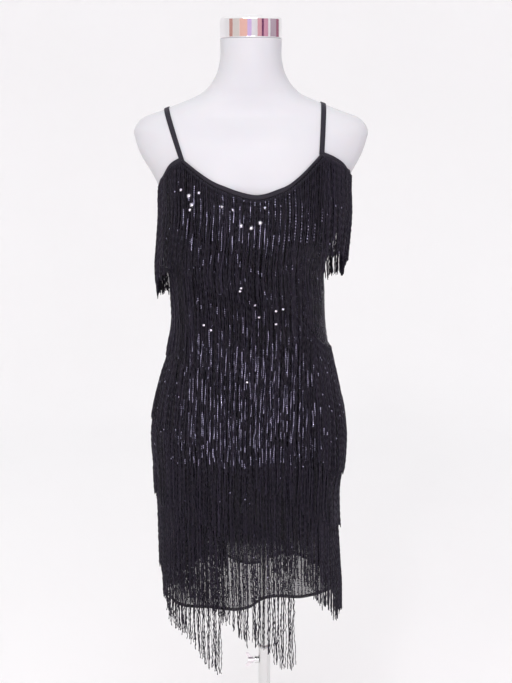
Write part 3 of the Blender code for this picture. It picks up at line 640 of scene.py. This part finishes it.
def hangingLayers(half):
    # For every turn and height: how far out each row hangs. A row lies at least its lift off the
    # cloth, which grows as the distance fallen to the power 0.8, and a gap off the row under it.
    # Its plumb share moves it from there towards the widest place above.
    turn = halfTurns(half, 0.004, 241)
    heights = hangHeights[None, :]
    column = turn[:, None]
    inside = np.clip(heights, hemHeight(turn, half)[:, None], topHeight(turn, half)[:, None])
    middle, halfWidth, depth = sizesAt(column + 0 * heights, inside)
    cloth = np.stack([halfWidth, depth])
    slope = np.sqrt(1 + (np.gradient(cloth, axis=2) / heightStep) ** 2)
    outer = np.full(cloth.shape, -1.0)
    layers = {}
    for line in tapeLines:
        first, last = tapeReach(line, half)
        there = ((turn > first - fringe["besideTape"]) & (turn < last + fringe["besideTape"]))[:, None]
        top, length = tapeTop(line, turn, half)[:, None], fallLength(line, turn)[:, None]
        below = heights <= top + fringe["aboveTape"]
        hangs = below & (heights >= top - length - fringe["belowTips"])
        fallen = np.clip((top - heights) / length, 0, 1)
        least = cloth + (fringe["offForm"] + fringe["lift"] * fallen ** 0.8) * slope
        least = np.maximum(least, outer + fringe["layerGap"])
        plumb = np.maximum.accumulate(np.where(below, least, -1.0), axis=2)
        path = least + line[4] * (np.maximum(plumb, least) - least)
        layers[line[0]] = path
        outer = np.where(hangs & there, path + fringe["wall"], outer)
    return {"start": turn[0], "step": turn[1] - turn[0], "middle": middle, "layers": layers}


def sampled(table, store, turn, height):
    # Value of a table of turns and heights between its four nearest entries
    a = np.clip((turn - store["start"]) / store["step"], 0, table.shape[-2] - 1.001)
    b = np.clip((hangHeights[0] - height) / heightStep, 0, table.shape[-1] - 1.001)
    i, j = a.astype(int), b.astype(int)
    s, t = a - i, b - j
    return ((1 - s) * (1 - t) * table[..., i, j] + s * (1 - t) * table[..., i + 1, j]
            + (1 - s) * t * table[..., i, j + 1] + s * t * table[..., i + 1, j + 1])


def buildTape(line, half, store):
    # A ribbon carried along the tape's line, with a rounded rectangle for its profile
    first, last = tapeReach(line, half)
    turn = np.linspace(first, last, int(60 * (last - first)))
    top = tapeTop(line, turn, half)
    drop = np.array([0.03, 0.0, 0.03, 0.5, 0.97, 1.0, 0.97, 0.5])
    rise = np.array([0.0, 0.5, 1.0, 1.0, 1.0, 0.5, 0.0, 0.0])
    height = top[:, None] - fringe["topTapeHeight" if line[0] == 1 else "tapeHeight"] * drop[None, :]
    column = turn[:, None] + 0 * height
    size = sampled(store["layers"][line[0]], store, column, height)
    middle = sampled(store["middle"], store, column, height)
    size = size + (rise * fringe["wall"])[None, None, :]
    points = placeAt(column, height, middle, size[0], size[1])
    uv = np.stack([drop[None, :] + 0 * height, roundScale * column], axis=-1)
    return points, uv, carried(len(turn), 8, turned=True)


def buildStrands(line, half, store, random):
    first, last = tapeReach(line, half)
    number = line[0]
    # Even places along the tape by its arc length
    turn = np.linspace(first, last, 600)
    top = tapeTop(line, turn, half)
    size = sampled(store["layers"][number], store, turn, top)
    arc = np.sqrt((size[0] * np.sin(turn)) ** 2 + (size[1] * np.cos(turn)) ** 2)
    # The strands lie closer beside the seams, where light would show between them
    arc = arc * (1 + fringe["sideShare"] * np.cos(turn) ** 4)
    arc = runningSum((arc[1:] + arc[:-1]) / 2 * np.diff(turn))
    count = int(arc[-1] / fringe["pitch"][number])
    places = (np.arange(count) + 0.5 + random.uniform(-0.25, 0.25, count)) / count * arc[-1]
    startTurn = np.interp(places, arc, turn)[:, None]
    startTop = tapeTop(line, startTurn, half) + fringe["topStart" if number == 1 else "start"]
    ragged = 1 + random.normal(0, fringe["ragged"], (count, 1)).clip(*fringe["raggedMost"])
    length = fallLength(line, startTurn) * ragged
    steps = int(fringe["length" if number > 1 else "topLength"] / fringe["knot"][number])
    share = np.linspace(0, 1, steps + 1)[None, :]
    height = startTop - length * share
    table = store["layers"][number]
    # A strand keeps its x in front of the body and its turn at the sides: its across value becomes
    # across x (ratio x (1 - across to the 4th) + across to the 4th), where ratio is the half width
    # at the tape over the half width here
    ratio = sampled(table[0], store, startTurn + 0 * height, startTop + 0 * height)
    ratio = ratio / sampled(table[0], store, startTurn + 0 * height, height)
    across = np.cos(startTurn)
    keep = across ** 4
    moved = np.clip(across * (ratio * (1 - keep) + keep), -0.9998, 0.9998)
    column = np.arccos(moved) if half == "front" else 2 * math.pi - np.arccos(moved)
    size = sampled(table, store, column, height)
    middle = sampled(store["middle"], store, column, height)
    points = placeAt(column, height, middle, size[0], size[1])
    beside = unit(np.stack([-size[0] * np.sin(column), -size[1] * np.cos(column), 0 * column], axis=-1))
    out = np.stack([-beside[..., 1], beside[..., 0], 0 * column], axis=-1)
    out *= np.sign((out * points).sum(axis=-1, keepdims=True))
    # Beside its place a strand has a crinkle, a slow sway that grows downwards, a pull towards its
    # clump, and a lean: each is an amount times a sine or a random number
    phase = random.uniform(0, 2 * math.pi, (count, 2))
    waves = random.uniform(1.2, 2.6, (count, 1))
    inFront = np.clip(1.4 * np.abs(np.sin(startTurn)) ** 2, 0.04, 1)
    slow = fringe["sway"] * share ** 0.7 * np.sin(2 * math.pi * waves * share + phase[:, :1])
    slow = slow * (0.2 + 0.8 * inFront)
    # Clumps keep the same places in every row, so gaps lie over gaps: their phase comes from the turn
    along = roundScale * startTurn
    clumps = 2.2 * np.sin(along * 37.0) + 0.8 * np.sin(along * 91.0)
    clumps = np.sin(2 * math.pi * along / fringe["clumpPitch"] + clumps)
    lean = random.normal(0, fringe["lean"], (count, 1)) * share ** 2
    crinkle = random.normal(0, fringe["crinkle"][number], (count, steps + 1))
    lateral = crinkle + slow - fringe["clump"][number] * share ** 0.6 * clumps * inFront + lean
    radius = fringe["radius"][number]
    depthways = random.uniform(*fringe["offTape"], (count, 1)) + 0.5 * np.abs(slow) + radius
    depthways = depthways + np.abs(random.normal(0, fringe["crinkle"][number], height.shape))
    points = points + beside * lateral[..., None] + out * depthways[..., None]
    strung = strungPlaces(number, points, beside, random)
    # Three points round the path, turning as they go down, as the loops of chainette do. It is
    # thicker and thinner by turns.
    angle = (np.array([0, 2, 4]) * math.pi / 3)[None, None, :]
    angle = angle + fringe["twist"] * np.arange(steps + 1)[None, :, None]
    angle = angle + phase[:, 1][:, None, None]
    thick = radius * (1 + fringe["swell"] * np.cos(np.pi * np.arange(steps + 1)))[None, :, None]
    thick = thick * random.uniform(0.85, 1.15, (count, 1, 1))
    ring = (points[:, :, None, :] + (thick * np.cos(angle))[..., None] * beside[:, :, None, :]
            + (thick * np.sin(angle))[..., None] * out[:, :, None, :])
    perStrand = (steps + 1) * 3
    base = np.arange(count)[:, None, None] * perStrand
    quads = (gridFaces(steps + 1, 3, closedAcross=True)[None, :, ::-1] + base).reshape(-1, 4)
    caps = np.array([[0, 1, 2], [perStrand - 1, perStrand - 2, perStrand - 3]])
    caps = (caps[None] + base).reshape(-1, 3)
    uv = np.stack([np.broadcast_to(random.uniform(0, 40, (count, 1, 1)), ring.shape[:3]),
                   np.broadcast_to((length * share)[..., None], ring.shape[:3])], axis=-1)
    return ring.reshape(-1, 3), uv.reshape(-1, 2), quads, caps, strung


strings = {
    # for each row: one strand in so many carries sequins, and from one run of them to the next
    "every": {1: 4, 2: 3, 3: 3, 4: 3, 5: 5, 6: 6},
    "run": {1: 0.075, 2: 0.062, 3: 0.056, 4: 0.056, 5: 0.020, 6: 0.020},
    "filled": 0.80,
    "off": 0.0016,
    "across": 0.0010,  # half the width of each, and half its height
    "up": 0.0018,
    "thickness": 0.00012,
    "tilt": 0.05,
    # how many there are at each height, and at each place across, as a share of the most: most on the bust
    # top and the belly where the light falls, few in the shade under the bust and at the sides, so these
    # lighter sequins paint the lit streaks
    "heights": [(0.45, 0), (0.815, 0.01), (0.830, 0.75), (0.88, 1.0), (1.00, 0.9), (1.06, 0.5),
                (1.09, 0.12), (1.16, 0.10), (1.18, 0.45), (1.21, 0.95), (1.27, 0.9), (1.29, 0.2), (1.31, 0)],
    "acrosses": [(-1.1, 0), (-0.80, 0.05), (-0.68, 0.85), (-0.5, 1.0), (0.50, 1.0), (0.68, 0.5),
                 (0.82, 0.06), (1.1, 0)],
}


def strungPlaces(number, points, beside, random):
    # Runs of small sequins along every few strands, two for each step. A run is there where the
    # fraction part of length / run + phase is under the share kept. Each faces out from the strand.
    count = points.shape[0]
    middles = (points[:, :-1] + points[:, 1:]) / 2
    between = (middles[:, :-1] + points[:, 1:-1]) / 2
    after = (middles[:, 1:] + points[:, 1:-1]) / 2
    spots = np.stack([between, after], axis=2).reshape(count, -1, 3)
    way = np.repeat(middles[:, 1:] - middles[:, :-1], 2, axis=1)
    along = fringe["knot"][number] / 2 * np.arange(spots.shape[1])[None, :]
    place = (along / strings["run"][number] + random.uniform(0, 1, (count, 1))) % 1
    # Strings lie every few strands, each up to one strand off its even place
    even = np.arange(0, count - 1, strings["every"][number])
    chosen = np.zeros((count, 1), bool)
    chosen[even + random.integers(0, 2, len(even))] = True
    halfWidth = smoothCurve(clothSections[:, 0], clothSections[:, 2], spots[..., 2])
    across = (spots[..., 0] - bodyShape["x"]) / halfWidth
    # the amount follows where light and shade fall, a painted highlight pattern
    amount = (np.interp(spots[..., 2], *np.array(strings["heights"]).T)
              * np.interp(across, *np.array(strings["acrosses"]).T))
    kept = chosen & (place < strings["filled"] * amount)
    facing = unit(np.cross(way, np.repeat(beside[:, 1:-1], 2, axis=1)))
    outwards = np.stack([spots[..., 0] - bodyShape["x"], spots[..., 1], 0 * spots[..., 0]], axis=-1)
    facing *= np.sign((facing * outwards).sum(axis=-1, keepdims=True))
    centre = spots + facing * (fringe["radius"][number] + strings["off"])
    return centre[kept], facing[kept]


def buildRow(line, half, store):
    random = np.random.default_rng(100 * line[0] + (half == "back"))
    strandPoints, strandUv, quads, caps, strung = buildStrands(line, half, store, random)
    strungSpots[half].append(strung)
    tapePoints, tapeUv, (tapeQuads, tapeStart, tapeEnd) = buildTape(line, half, store)
    shift = len(strandPoints)
    points = np.concatenate([strandPoints, tapePoints.reshape(-1, 3)])
    uv = np.concatenate([strandUv, tapeUv.reshape(-1, 2)])
    faces = [quads, caps, tapeQuads + shift, tapeStart + shift, tapeEnd + shift]
    kinds = np.concatenate([np.zeros(len(quads) + len(caps)), np.ones(len(tapeQuads) + 2)])
    name = f"fringe_{line[0]}_{half}"
    piece = newPiece(name, points, faces, [yarn, elastic], uv=uv, kinds=kinds)
    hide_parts(f"fringe_row_{line[0]}_{half}")
    return piece


rows, strungSpots = {"front": [], "back": []}, {"front": [], "back": []}
stores = {half: hangingLayers(half) for half in rows}
for half in rows:
    rows[half] = [buildRow(line, half, stores[half]) for line in tapeLines]
print("fringe made", sum(len(piece.data.polygons) for half in rows for piece in rows[half]))

# Bindings and straps

band = {
    "height": 0.0086,
    "rise": 0.0012,
    "inner": 0.0010,
    "outer": 0.0039,
    "round": 20,
    "perDegree": 2.2,
    "uvMiddle": 0.20,  # the band's place across the elastic's colour ramp, whose darker ends are painted groove shade, and how far it spreads either side
    "uvSpread": 0.19,
}
strapBand = {
    "width": 0.0085,
    "wall": 0.0018,
    "off": 0.0007,
    "back": 0.0985,  # where it meets the back's top edge, either side of the middle
    "turn": 53.0,
    "rightRidge": 0.1220,
    "leftRidge": -0.1425,
    "frontInset": 0.0035,
    "backInset": 0.0030,
    "endRise": 0.0012,
    "round": 16,
    "steps": 120,
}


def roundedProfile(count):
    # A rounded rectangle from -1 to 1 each way: the square roots of a cosine and a sine, signs kept
    angle = np.linspace(0, 2 * math.pi, count, endpoint=False)
    c, s = np.cos(angle), np.sin(angle)
    return np.sign(c) * np.abs(c) ** 0.5, np.sign(s) * np.abs(s) ** 0.5


def buildBinding(name, node, half, first, last):
    # The elastic is folded over the edge of the net, so its profile holds that edge inside
    turn = np.radians(np.linspace(first, last, max(24, int(band["perDegree"] * (last - first)))))
    fall, outwards = roundedProfile(band["round"])
    top = topHeight(turn, half)[:, None]
    height = top + band["rise"] - band["height"] * (1 + fall[None, :]) / 2
    off = band["inner"] + (band["outer"] - band["inner"]) * (1 + outwards) / 2 + 0 * height
    points = surfaceAt(turn[:, None] + 0 * height, height, off)
    uv = np.stack([(band["uvMiddle"] + band["uvSpread"] * fall)[None, :] + 0 * height,
                   roundScale * turn[:, None] + 0 * height], axis=-1)
    piece = newPiece(name, points, carried(*height.shape), elastic, uv=uv)
    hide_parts(node)
    return piece


def ridgeHeight(x):
    # The height of the shoulder line this far from the form's middle
    widest = int(np.argmax(formSections[:, 2]))
    heights = np.linspace(formSections[widest, 0], bodyShape["neckTop"], 400)
    widths = smoothCurve(formSections[:, 0], formSections[:, 2], heights)
    return float(np.interp(-abs(x), -widths, heights))


def formSlice(xStart, xRidge, start, side):
    # Points of the form from a height up to the shoulder line, while x runs evenly to its place there
    ridge = ridgeHeight(xRidge) - 1e-5
    share = 1 - (1 - np.linspace(0, 1, 240)) ** 2
    heights = start + (ridge - start) * share
    x = xStart + (xRidge - xStart) * share
    middle, halfWidth = (smoothCurve(formSections[:, 0], formSections[:, k], heights) for k in (1, 2))
    across = (x - middle) / halfWidth
    turn = np.arccos(np.clip(across, -1, 1))
    for _ in range(8):
        turn = np.arccos(np.clip(across / squared(turn), -1, 1))
    return placeAt(side * turn, heights, *sizesAt(side * turn, heights, False))


def tautLine(points):
    # The points that a string pulled over the shoulder touches: for each direction in the plane of
    # Y and Z, the point that lies furthest that way
    angles = np.linspace(math.pi * 1.08, -math.pi * 0.08, 1600)
    ways = np.stack([np.cos(angles), np.sin(angles)])
    touched = np.unique(np.argmax(points[:, 1:] @ ways, axis=0))
    touched = np.unique(np.concatenate([[0], touched, [len(points) - 1]]))
    return points[touched]


def buildStrap(name, node, turnDegrees, xRidge):
    # Each point round its profile is a taut line of its own over the shoulder, moved out from it
    strap, turn = strapBand, math.radians(turnDegrees)
    front = float(topHeight(np.array(turn), "front")) - strap["frontInset"]
    back = float(topHeight(np.array(turn), "back")) - strap["backInset"]
    xFront = float(surfaceAt(turn, front)[0]) - bodyShape["x"]
    xBack = math.copysign(strap["back"], xFront)
    width, outwards = roundedProfile(strap["round"])
    columns = []
    for shift in width * strap["width"] / 2:
        line = np.concatenate([formSlice(xFront + shift, xRidge + shift, front, 1),
                               formSlice(xBack + shift, xRidge + shift, back, -1)[::-1][1:]])
        line = tautLine(line)
        along = runningSum(np.linalg.norm(np.diff(line, axis=0), axis=1))
        even = np.linspace(0, along[-1], strap["steps"])
        columns.append(np.stack([np.interp(even, along, line[:, k]) for k in range(3)], axis=1))
    grid = np.stack(columns, axis=1)
    # A mean over nine neighbours along the strap takes the corners out of the taut line
    padded = np.concatenate([grid[:1]] * 4 + [grid] + [grid[-1:]] * 4)
    grid = np.concatenate([grid[:1], sum(padded[k:k + len(grid)] for k in range(9))[1:-1] / 9, grid[-1:]])
    way = np.gradient(grid.mean(axis=1), axis=0)
    out = unit(np.stack([0 * way[:, 0], -way[:, 2], way[:, 1]], axis=1))
    lift = strap["off"] + strap["wall"] * (1 + outwards) / 2
    # The ends stand further off, where the strap meets the folded binding
    ends = np.abs(np.linspace(-1, 1, len(grid))) ** 24
    points = grid + out[:, None, :] * (lift[None, :, None] + strap["endRise"] * ends[:, None, None])
    length = runningSum(np.linalg.norm(way[1:], axis=1))
    uv = np.stack([(band["uvMiddle"] + band["uvSpread"] * width)[None, :] + 0 * points[..., 0],
                   length[:, None] + 0 * points[..., 0]], axis=-1)
    piece = newPiece(name, points, carried(*points.shape[:2], turned=True), elastic, uv=uv)
    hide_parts(node)
    return piece, length[-1]


trims = {
    "front": [buildBinding("trim_neck", "neck_binding", "front", 53.2, 126.8),
              buildBinding("trim_armhole_right", "armhole_binding_right", "front", 0.5, 52.8),
              buildBinding("trim_armhole_left", "armhole_binding_left", "front", 127.2, 179.5)],
    "back": [buildBinding("trim_back", "back_binding", "back", 180.5, 359.5)],
}
turnRight, turnLeft = strapBand["turn"], 180 - strapBand["turn"]
strapRight, rightLength = buildStrap("strap_band_right", "strap_right", turnRight, strapBand["rightRidge"])
strapLeft, leftLength = buildStrap("strap_band_left", "strap_left", turnLeft, strapBand["leftRidge"])
print("bindings and straps made, straps", round(rightLength, 3), round(leftLength, 3))

# Sequins

sequins = {
    "radius": 0.0019,
    "thickness": 0.0003,
    "sides": 5,
    "tilt": 0.12,
    "line": 0.0064,  # from one upright line of them to the next, and from one to the next along it
    "step": 0.0040,
    "reach": (1.33, 0.57),
    "meanRadius": 0.135,
    "turnSpread": 0.004,
    "heightSpread": 0.0005,
    "missing": 0.08,
    "belowTop": 0.012,
    "aboveHem": 0.004,
    "offNet": 0.0007,
}
glintShape = {"bright": 0.0040, "usual": 0.0028, "thickness": 0.00008, "tilt": 0.02, "offFringe": 0.0050}
# Picture places of the largest glints: each is a bigger sequin that faces the light, a near-white mirror
# among black ones, so its glint is partly a painted highlight
glints = [(181, 190), (189, 196), (199, 193), (192, 205), (190, 210), (222, 207), (233, 210), (241, 226),
          (251, 228), (260, 223), (265, 208), (241, 288), (240, 291), (255, 305), (259, 317), (276, 311),
          (283, 309), (276, 324), (204, 325), (211, 330), (247, 382)]
brightest = (1, 3, 7, 8, 9)


def discs(centres, facing, radius, random, tilt, stretch=1.0, thickness=sequins["thickness"]):
    # A shallow cup: some points round a rim, one raised in the middle and a flat back. It faces
    # along the cloth's normal, tilted by random amounts.
    count = len(centres)
    facing = unit(facing + random.normal(0, tilt, (count, 3)))
    beside = unit(np.cross(facing, np.array([0, 0, 1.0])))
    up = np.cross(beside, facing)
    sides = sequins["sides"]
    angle = np.linspace(0, 2 * math.pi, sides, endpoint=False)[None, :] + random.uniform(0, 1, (count, 1))
    rim = centres[:, None] + radius * (np.cos(angle)[..., None] * beside[:, None]
                                       + stretch * np.sin(angle)[..., None] * up[:, None])
    points = np.concatenate([rim, (centres + thickness * facing)[:, None]], axis=1)
    k = np.arange(sides)
    first = (sides + 1) * np.arange(count)[:, None]
    front = np.stack([(k + 1) % sides, k, 0 * k + sides], axis=1)[None] + first[..., None]
    return points.reshape(-1, 3), front.reshape(-1, 3), first + k[None, :]


def glintPlaces():
    # Follows each picture place from the camera to the outside of the fringe: the distance is put
    # right twelve times over. The sequin faces halfway between the camera and the sparkle light.
    pixels = np.array(glints, float)
    eye, pitch = np.array(view["place"]), math.radians(view["tilt"] - 90)
    across = (pixels[:, 0] - view["pixels"][0] / 2) / view["focal"]
    up = (view["pixels"][1] / 2 - pixels[:, 1]) / view["focal"]
    ways = np.stack([across, np.cos(pitch) - up * np.sin(pitch), np.sin(pitch) + up * np.cos(pitch)], axis=1)
    y, turn = np.full(len(pixels), -0.12), np.full(len(pixels), math.pi / 2)
    store = stores["front"]
    for _ in range(12):
        spot = eye + ways * ((y - eye[1]) / ways[:, 1])[:, None]
        middle, *size = sizesAt(turn, spot[:, 2])
        for line in tapeLines:
            top = tapeTop(line, turn, "front")
            hangs = (spot[:, 2] < top) & (spot[:, 2] > top - fallLength(line, turn))
            hangs &= turn > tapeReach(line, "front")[0]
            layer = sampled(store["layers"][line[0]], store, turn, spot[:, 2])
            size = [np.where(hangs, np.maximum(each, other), each) for each, other in zip(size, layer)]
        size = [each + glintShape["offFringe"] for each in size]
        turn = (spot[:, 0] - bodyShape["x"] - middle) / size[0] / squared(turn)
        turn = np.arccos(np.clip(turn, -0.98, 0.98))
        y = placeAt(turn, spot[:, 2], middle, *size)[:, 1]
    return spot, unit(unit(eye - spot) + unit(np.array(view["sparkle"]) - spot))


def buildSequins(name, half):
    # Sequins on the net in upright lines, every other line half a step down, and the glints in front
    random = np.random.default_rng(7 if half == "front" else 8)
    start = 0 if half == "front" else math.pi
    count = int(math.pi * sequins["meanRadius"] / sequins["line"])
    turn = start + (np.arange(count) + 0.5) / count * math.pi
    height = np.arange(*sequins["reach"], -sequins["step"])
    turn, height = np.meshgrid(turn, height)
    turn = turn + random.normal(0, sequins["turnSpread"], turn.shape)
    height = height + random.normal(0, sequins["heightSpread"], turn.shape)
    height = height + 0.5 * sequins["step"] * (np.arange(turn.shape[1]) % 2)
    kept = height < topHeight(turn, half) - sequins["belowTop"]
    kept &= height > hemHeight(turn, half) + sequins["aboveHem"]
    kept &= random.uniform(0, 1, turn.shape) > sequins["missing"]
    turn, height = turn[kept], height[kept]
    centre = surfaceAt(turn, height, netPiece["offForm"] + netPiece["thickness"] + sequins["offNet"])
    facing = unit(surfaceAt(turn, height, 0.01) - surfaceAt(turn, height, 0.0))
    points, fronts, backs = discs(centre, facing, sequins["radius"], random, sequins["tilt"])
    kinds = np.zeros(len(fronts) + len(backs))
    if half == "front":
        spots, towards = glintPlaces()
        bright = np.isin(np.arange(len(glints)), brightest)
        size = np.where(bright, glintShape["bright"], glintShape["usual"])[:, None, None]
        more, moreFronts, moreBacks = discs(spots, towards, size, random, glintShape["tilt"],
                                            thickness=glintShape["thickness"])
        kinds = np.repeat([0, 1, 0, 1], [len(fronts), len(moreFronts), len(backs), len(moreBacks)])
        fronts = np.concatenate([fronts, moreFronts + len(points)])
        backs = np.concatenate([backs, moreBacks + len(points)])
        points = np.concatenate([points, more])
    return newPiece(name, points, [fronts, backs], [sequin, glintSequinHighlight], kinds=kinds)


def buildStrung(name, half):
    spots = np.concatenate([each[0] for each in strungSpots[half]])
    facing = np.concatenate([each[1] for each in strungSpots[half]])
    random = np.random.default_rng(21 if half == "front" else 22)
    points, fronts, backs = discs(spots, facing, strings["across"], random, strings["tilt"],
                                  strings["up"] / strings["across"], strings["thickness"])
    return newPiece(name, points, [fronts, backs], strungSequinHighlight)


sequinsFront = buildSequins("sequins_front", "front")
sequinsBack = buildSequins("sequins_back", "back")
strungFront = buildStrung("sequins_strung_front", "front")
strungBack = buildStrung("sequins_strung_back", "back")
sequinPieces = (sequinsFront, sequinsBack, strungFront, strungBack)
print("sequins made", [len(piece.data.polygons) for piece in sequinPieces])

# Stage, light and camera

studio = {"radius": 4.5, "wall": 4.0, "round": 1.5, "below": 0.0005, "around": 96}


def buildStage():
    # A round sweep: a floor, a quarter circle and a wall, turned about the pole's axis
    s = studio
    corner = np.radians(np.linspace(-90, 0, 24))
    flat = s["radius"] - s["round"]
    r = np.concatenate([[0.001, 1.0, 2.0], flat + s["round"] * np.cos(corner), [s["radius"]]])
    z = np.concatenate([[0, 0, 0], s["round"] + s["round"] * np.sin(corner), [s["wall"]]])
    z = z - s["below"]
    turn = np.linspace(0, 2 * math.pi, s["around"], endpoint=False)
    points = np.stack([r[:, None] * np.cos(turn), r[:, None] * np.sin(turn), z[:, None] + 0 * turn], axis=-1)
    stops = [(0.3, (0.92, 0.922, 0.928)), (0.7, (0.93, 0.932, 0.94))]
    look = cloudyLook("paleSweep", (0.925, 0.925, 0.93), 0.85, 1.2, 2, stops, Specular_IOR_Level=0.1)[0]
    floor = newPiece("sweep", points, [gridFaces(len(r), s["around"], closedAcross=True)], look, body=None)


def addArea(name, place, aim, size, power, colour):
    # A soft rectangle of light, level from side to side, turned from its place towards its aim
    light = bpy.data.lights.new(name, "AREA")
    light.shape = "RECTANGLE"
    light.energy, light.color = power, colour
    light.size, light.size_y = size
    lamp = bpy.data.objects.new(name, light)
    bpy.context.scene.collection.objects.link(lamp)
    lamp.location = place
    way = np.array(aim, float) - np.array(place, float)
    flat = math.hypot(way[0], way[1])
    heading = math.atan2(way[1], way[0])
    lamp.rotation_euler = (math.pi / 2 + math.atan2(way[2], flat), 0, heading - math.pi / 2)
    lamp.visible_camera = False


# What the chrome mirrors beside the camera: from and to which azimuth, and a colour
cards = [(-86, -70, (0.55, 0.30, 0.26)), (-69, -43, (0.70, 0.66, 0.62)), (-42, -13, (0.85, 0.52, 0.44)),
         (-13, 2, (0.66, 0.50, 0.80)), (24, 40, (0.70, 0.38, 0.42)), (40, 48, (0.17, 0.05, 0.13)),
         (48, 66, (0.62, 0.32, 0.42)), (76, 107, (0.46, 0.37, 0.43)), (107, 125, (0.34, 0.14, 0.20))]
cardDrum = {"radius": 2.9, "reach": (2.35, 1.20), "step": 4}


def buildCards():
    # Upright strips of a drum round the pole, with points every few degrees
    for number, (first, last, colour) in enumerate(cards):
        angle = np.radians(np.linspace(first, last, max(3, int((last - first) / cardDrum["step"]))))
        x, y = cardDrum["radius"] * np.sin(angle), -cardDrum["radius"] * np.cos(angle)
        points = np.stack([np.stack([x, y, z + 0 * x], axis=-1) for z in cardDrum["reach"]])
        look, _ = newLook(f"card{number}", colour, 0.9, Specular_IOR_Level=0.0)
        card = newPiece(f"card_{number}", points, [gridFaces(*points.shape[:2])[:, ::-1]], look, body=None)
        card.visible_camera = False


buildStage()
buildCards()
addArea("upper", (-0.15, -2.6, 2.85), (0, 0, 1.25), (2.6, 0.5), 27, (1.0, 0.985, 1.0))
addArea("lower", (0.0, -3.35, 1.05), (0, 0, 0.98), (2.0, 0.5), 18, (1.0, 0.985, 1.0))
addArea("sparkle", view["sparkle"], (0, 0, 1.1), (0.22, 0.22), 12, (1.0, 0.98, 1.0))

world = bpy.data.worlds.new("room")
world.use_nodes = True
sky = world.node_tree.nodes["Background"]
sky.inputs["Color"].default_value = (1.0, 0.995, 0.995, 1)
sky.inputs["Strength"].default_value = 1.05
bpy.context.scene.world = world
bpy.context.scene.view_settings.view_transform = "Standard"
bpy.context.scene.view_settings.look = "None"

camera = bpy.data.objects.new("camera", bpy.data.cameras.new("camera"))
bpy.context.scene.collection.objects.link(camera)
camera.data.sensor_width = view["sensor"]
camera.data.lens = view["lens"]
camera.location = view["place"]
camera.rotation_euler = (math.radians(view["tilt"]), 0, 0)
bpy.context.scene.camera = camera
print("stage, light and camera made")
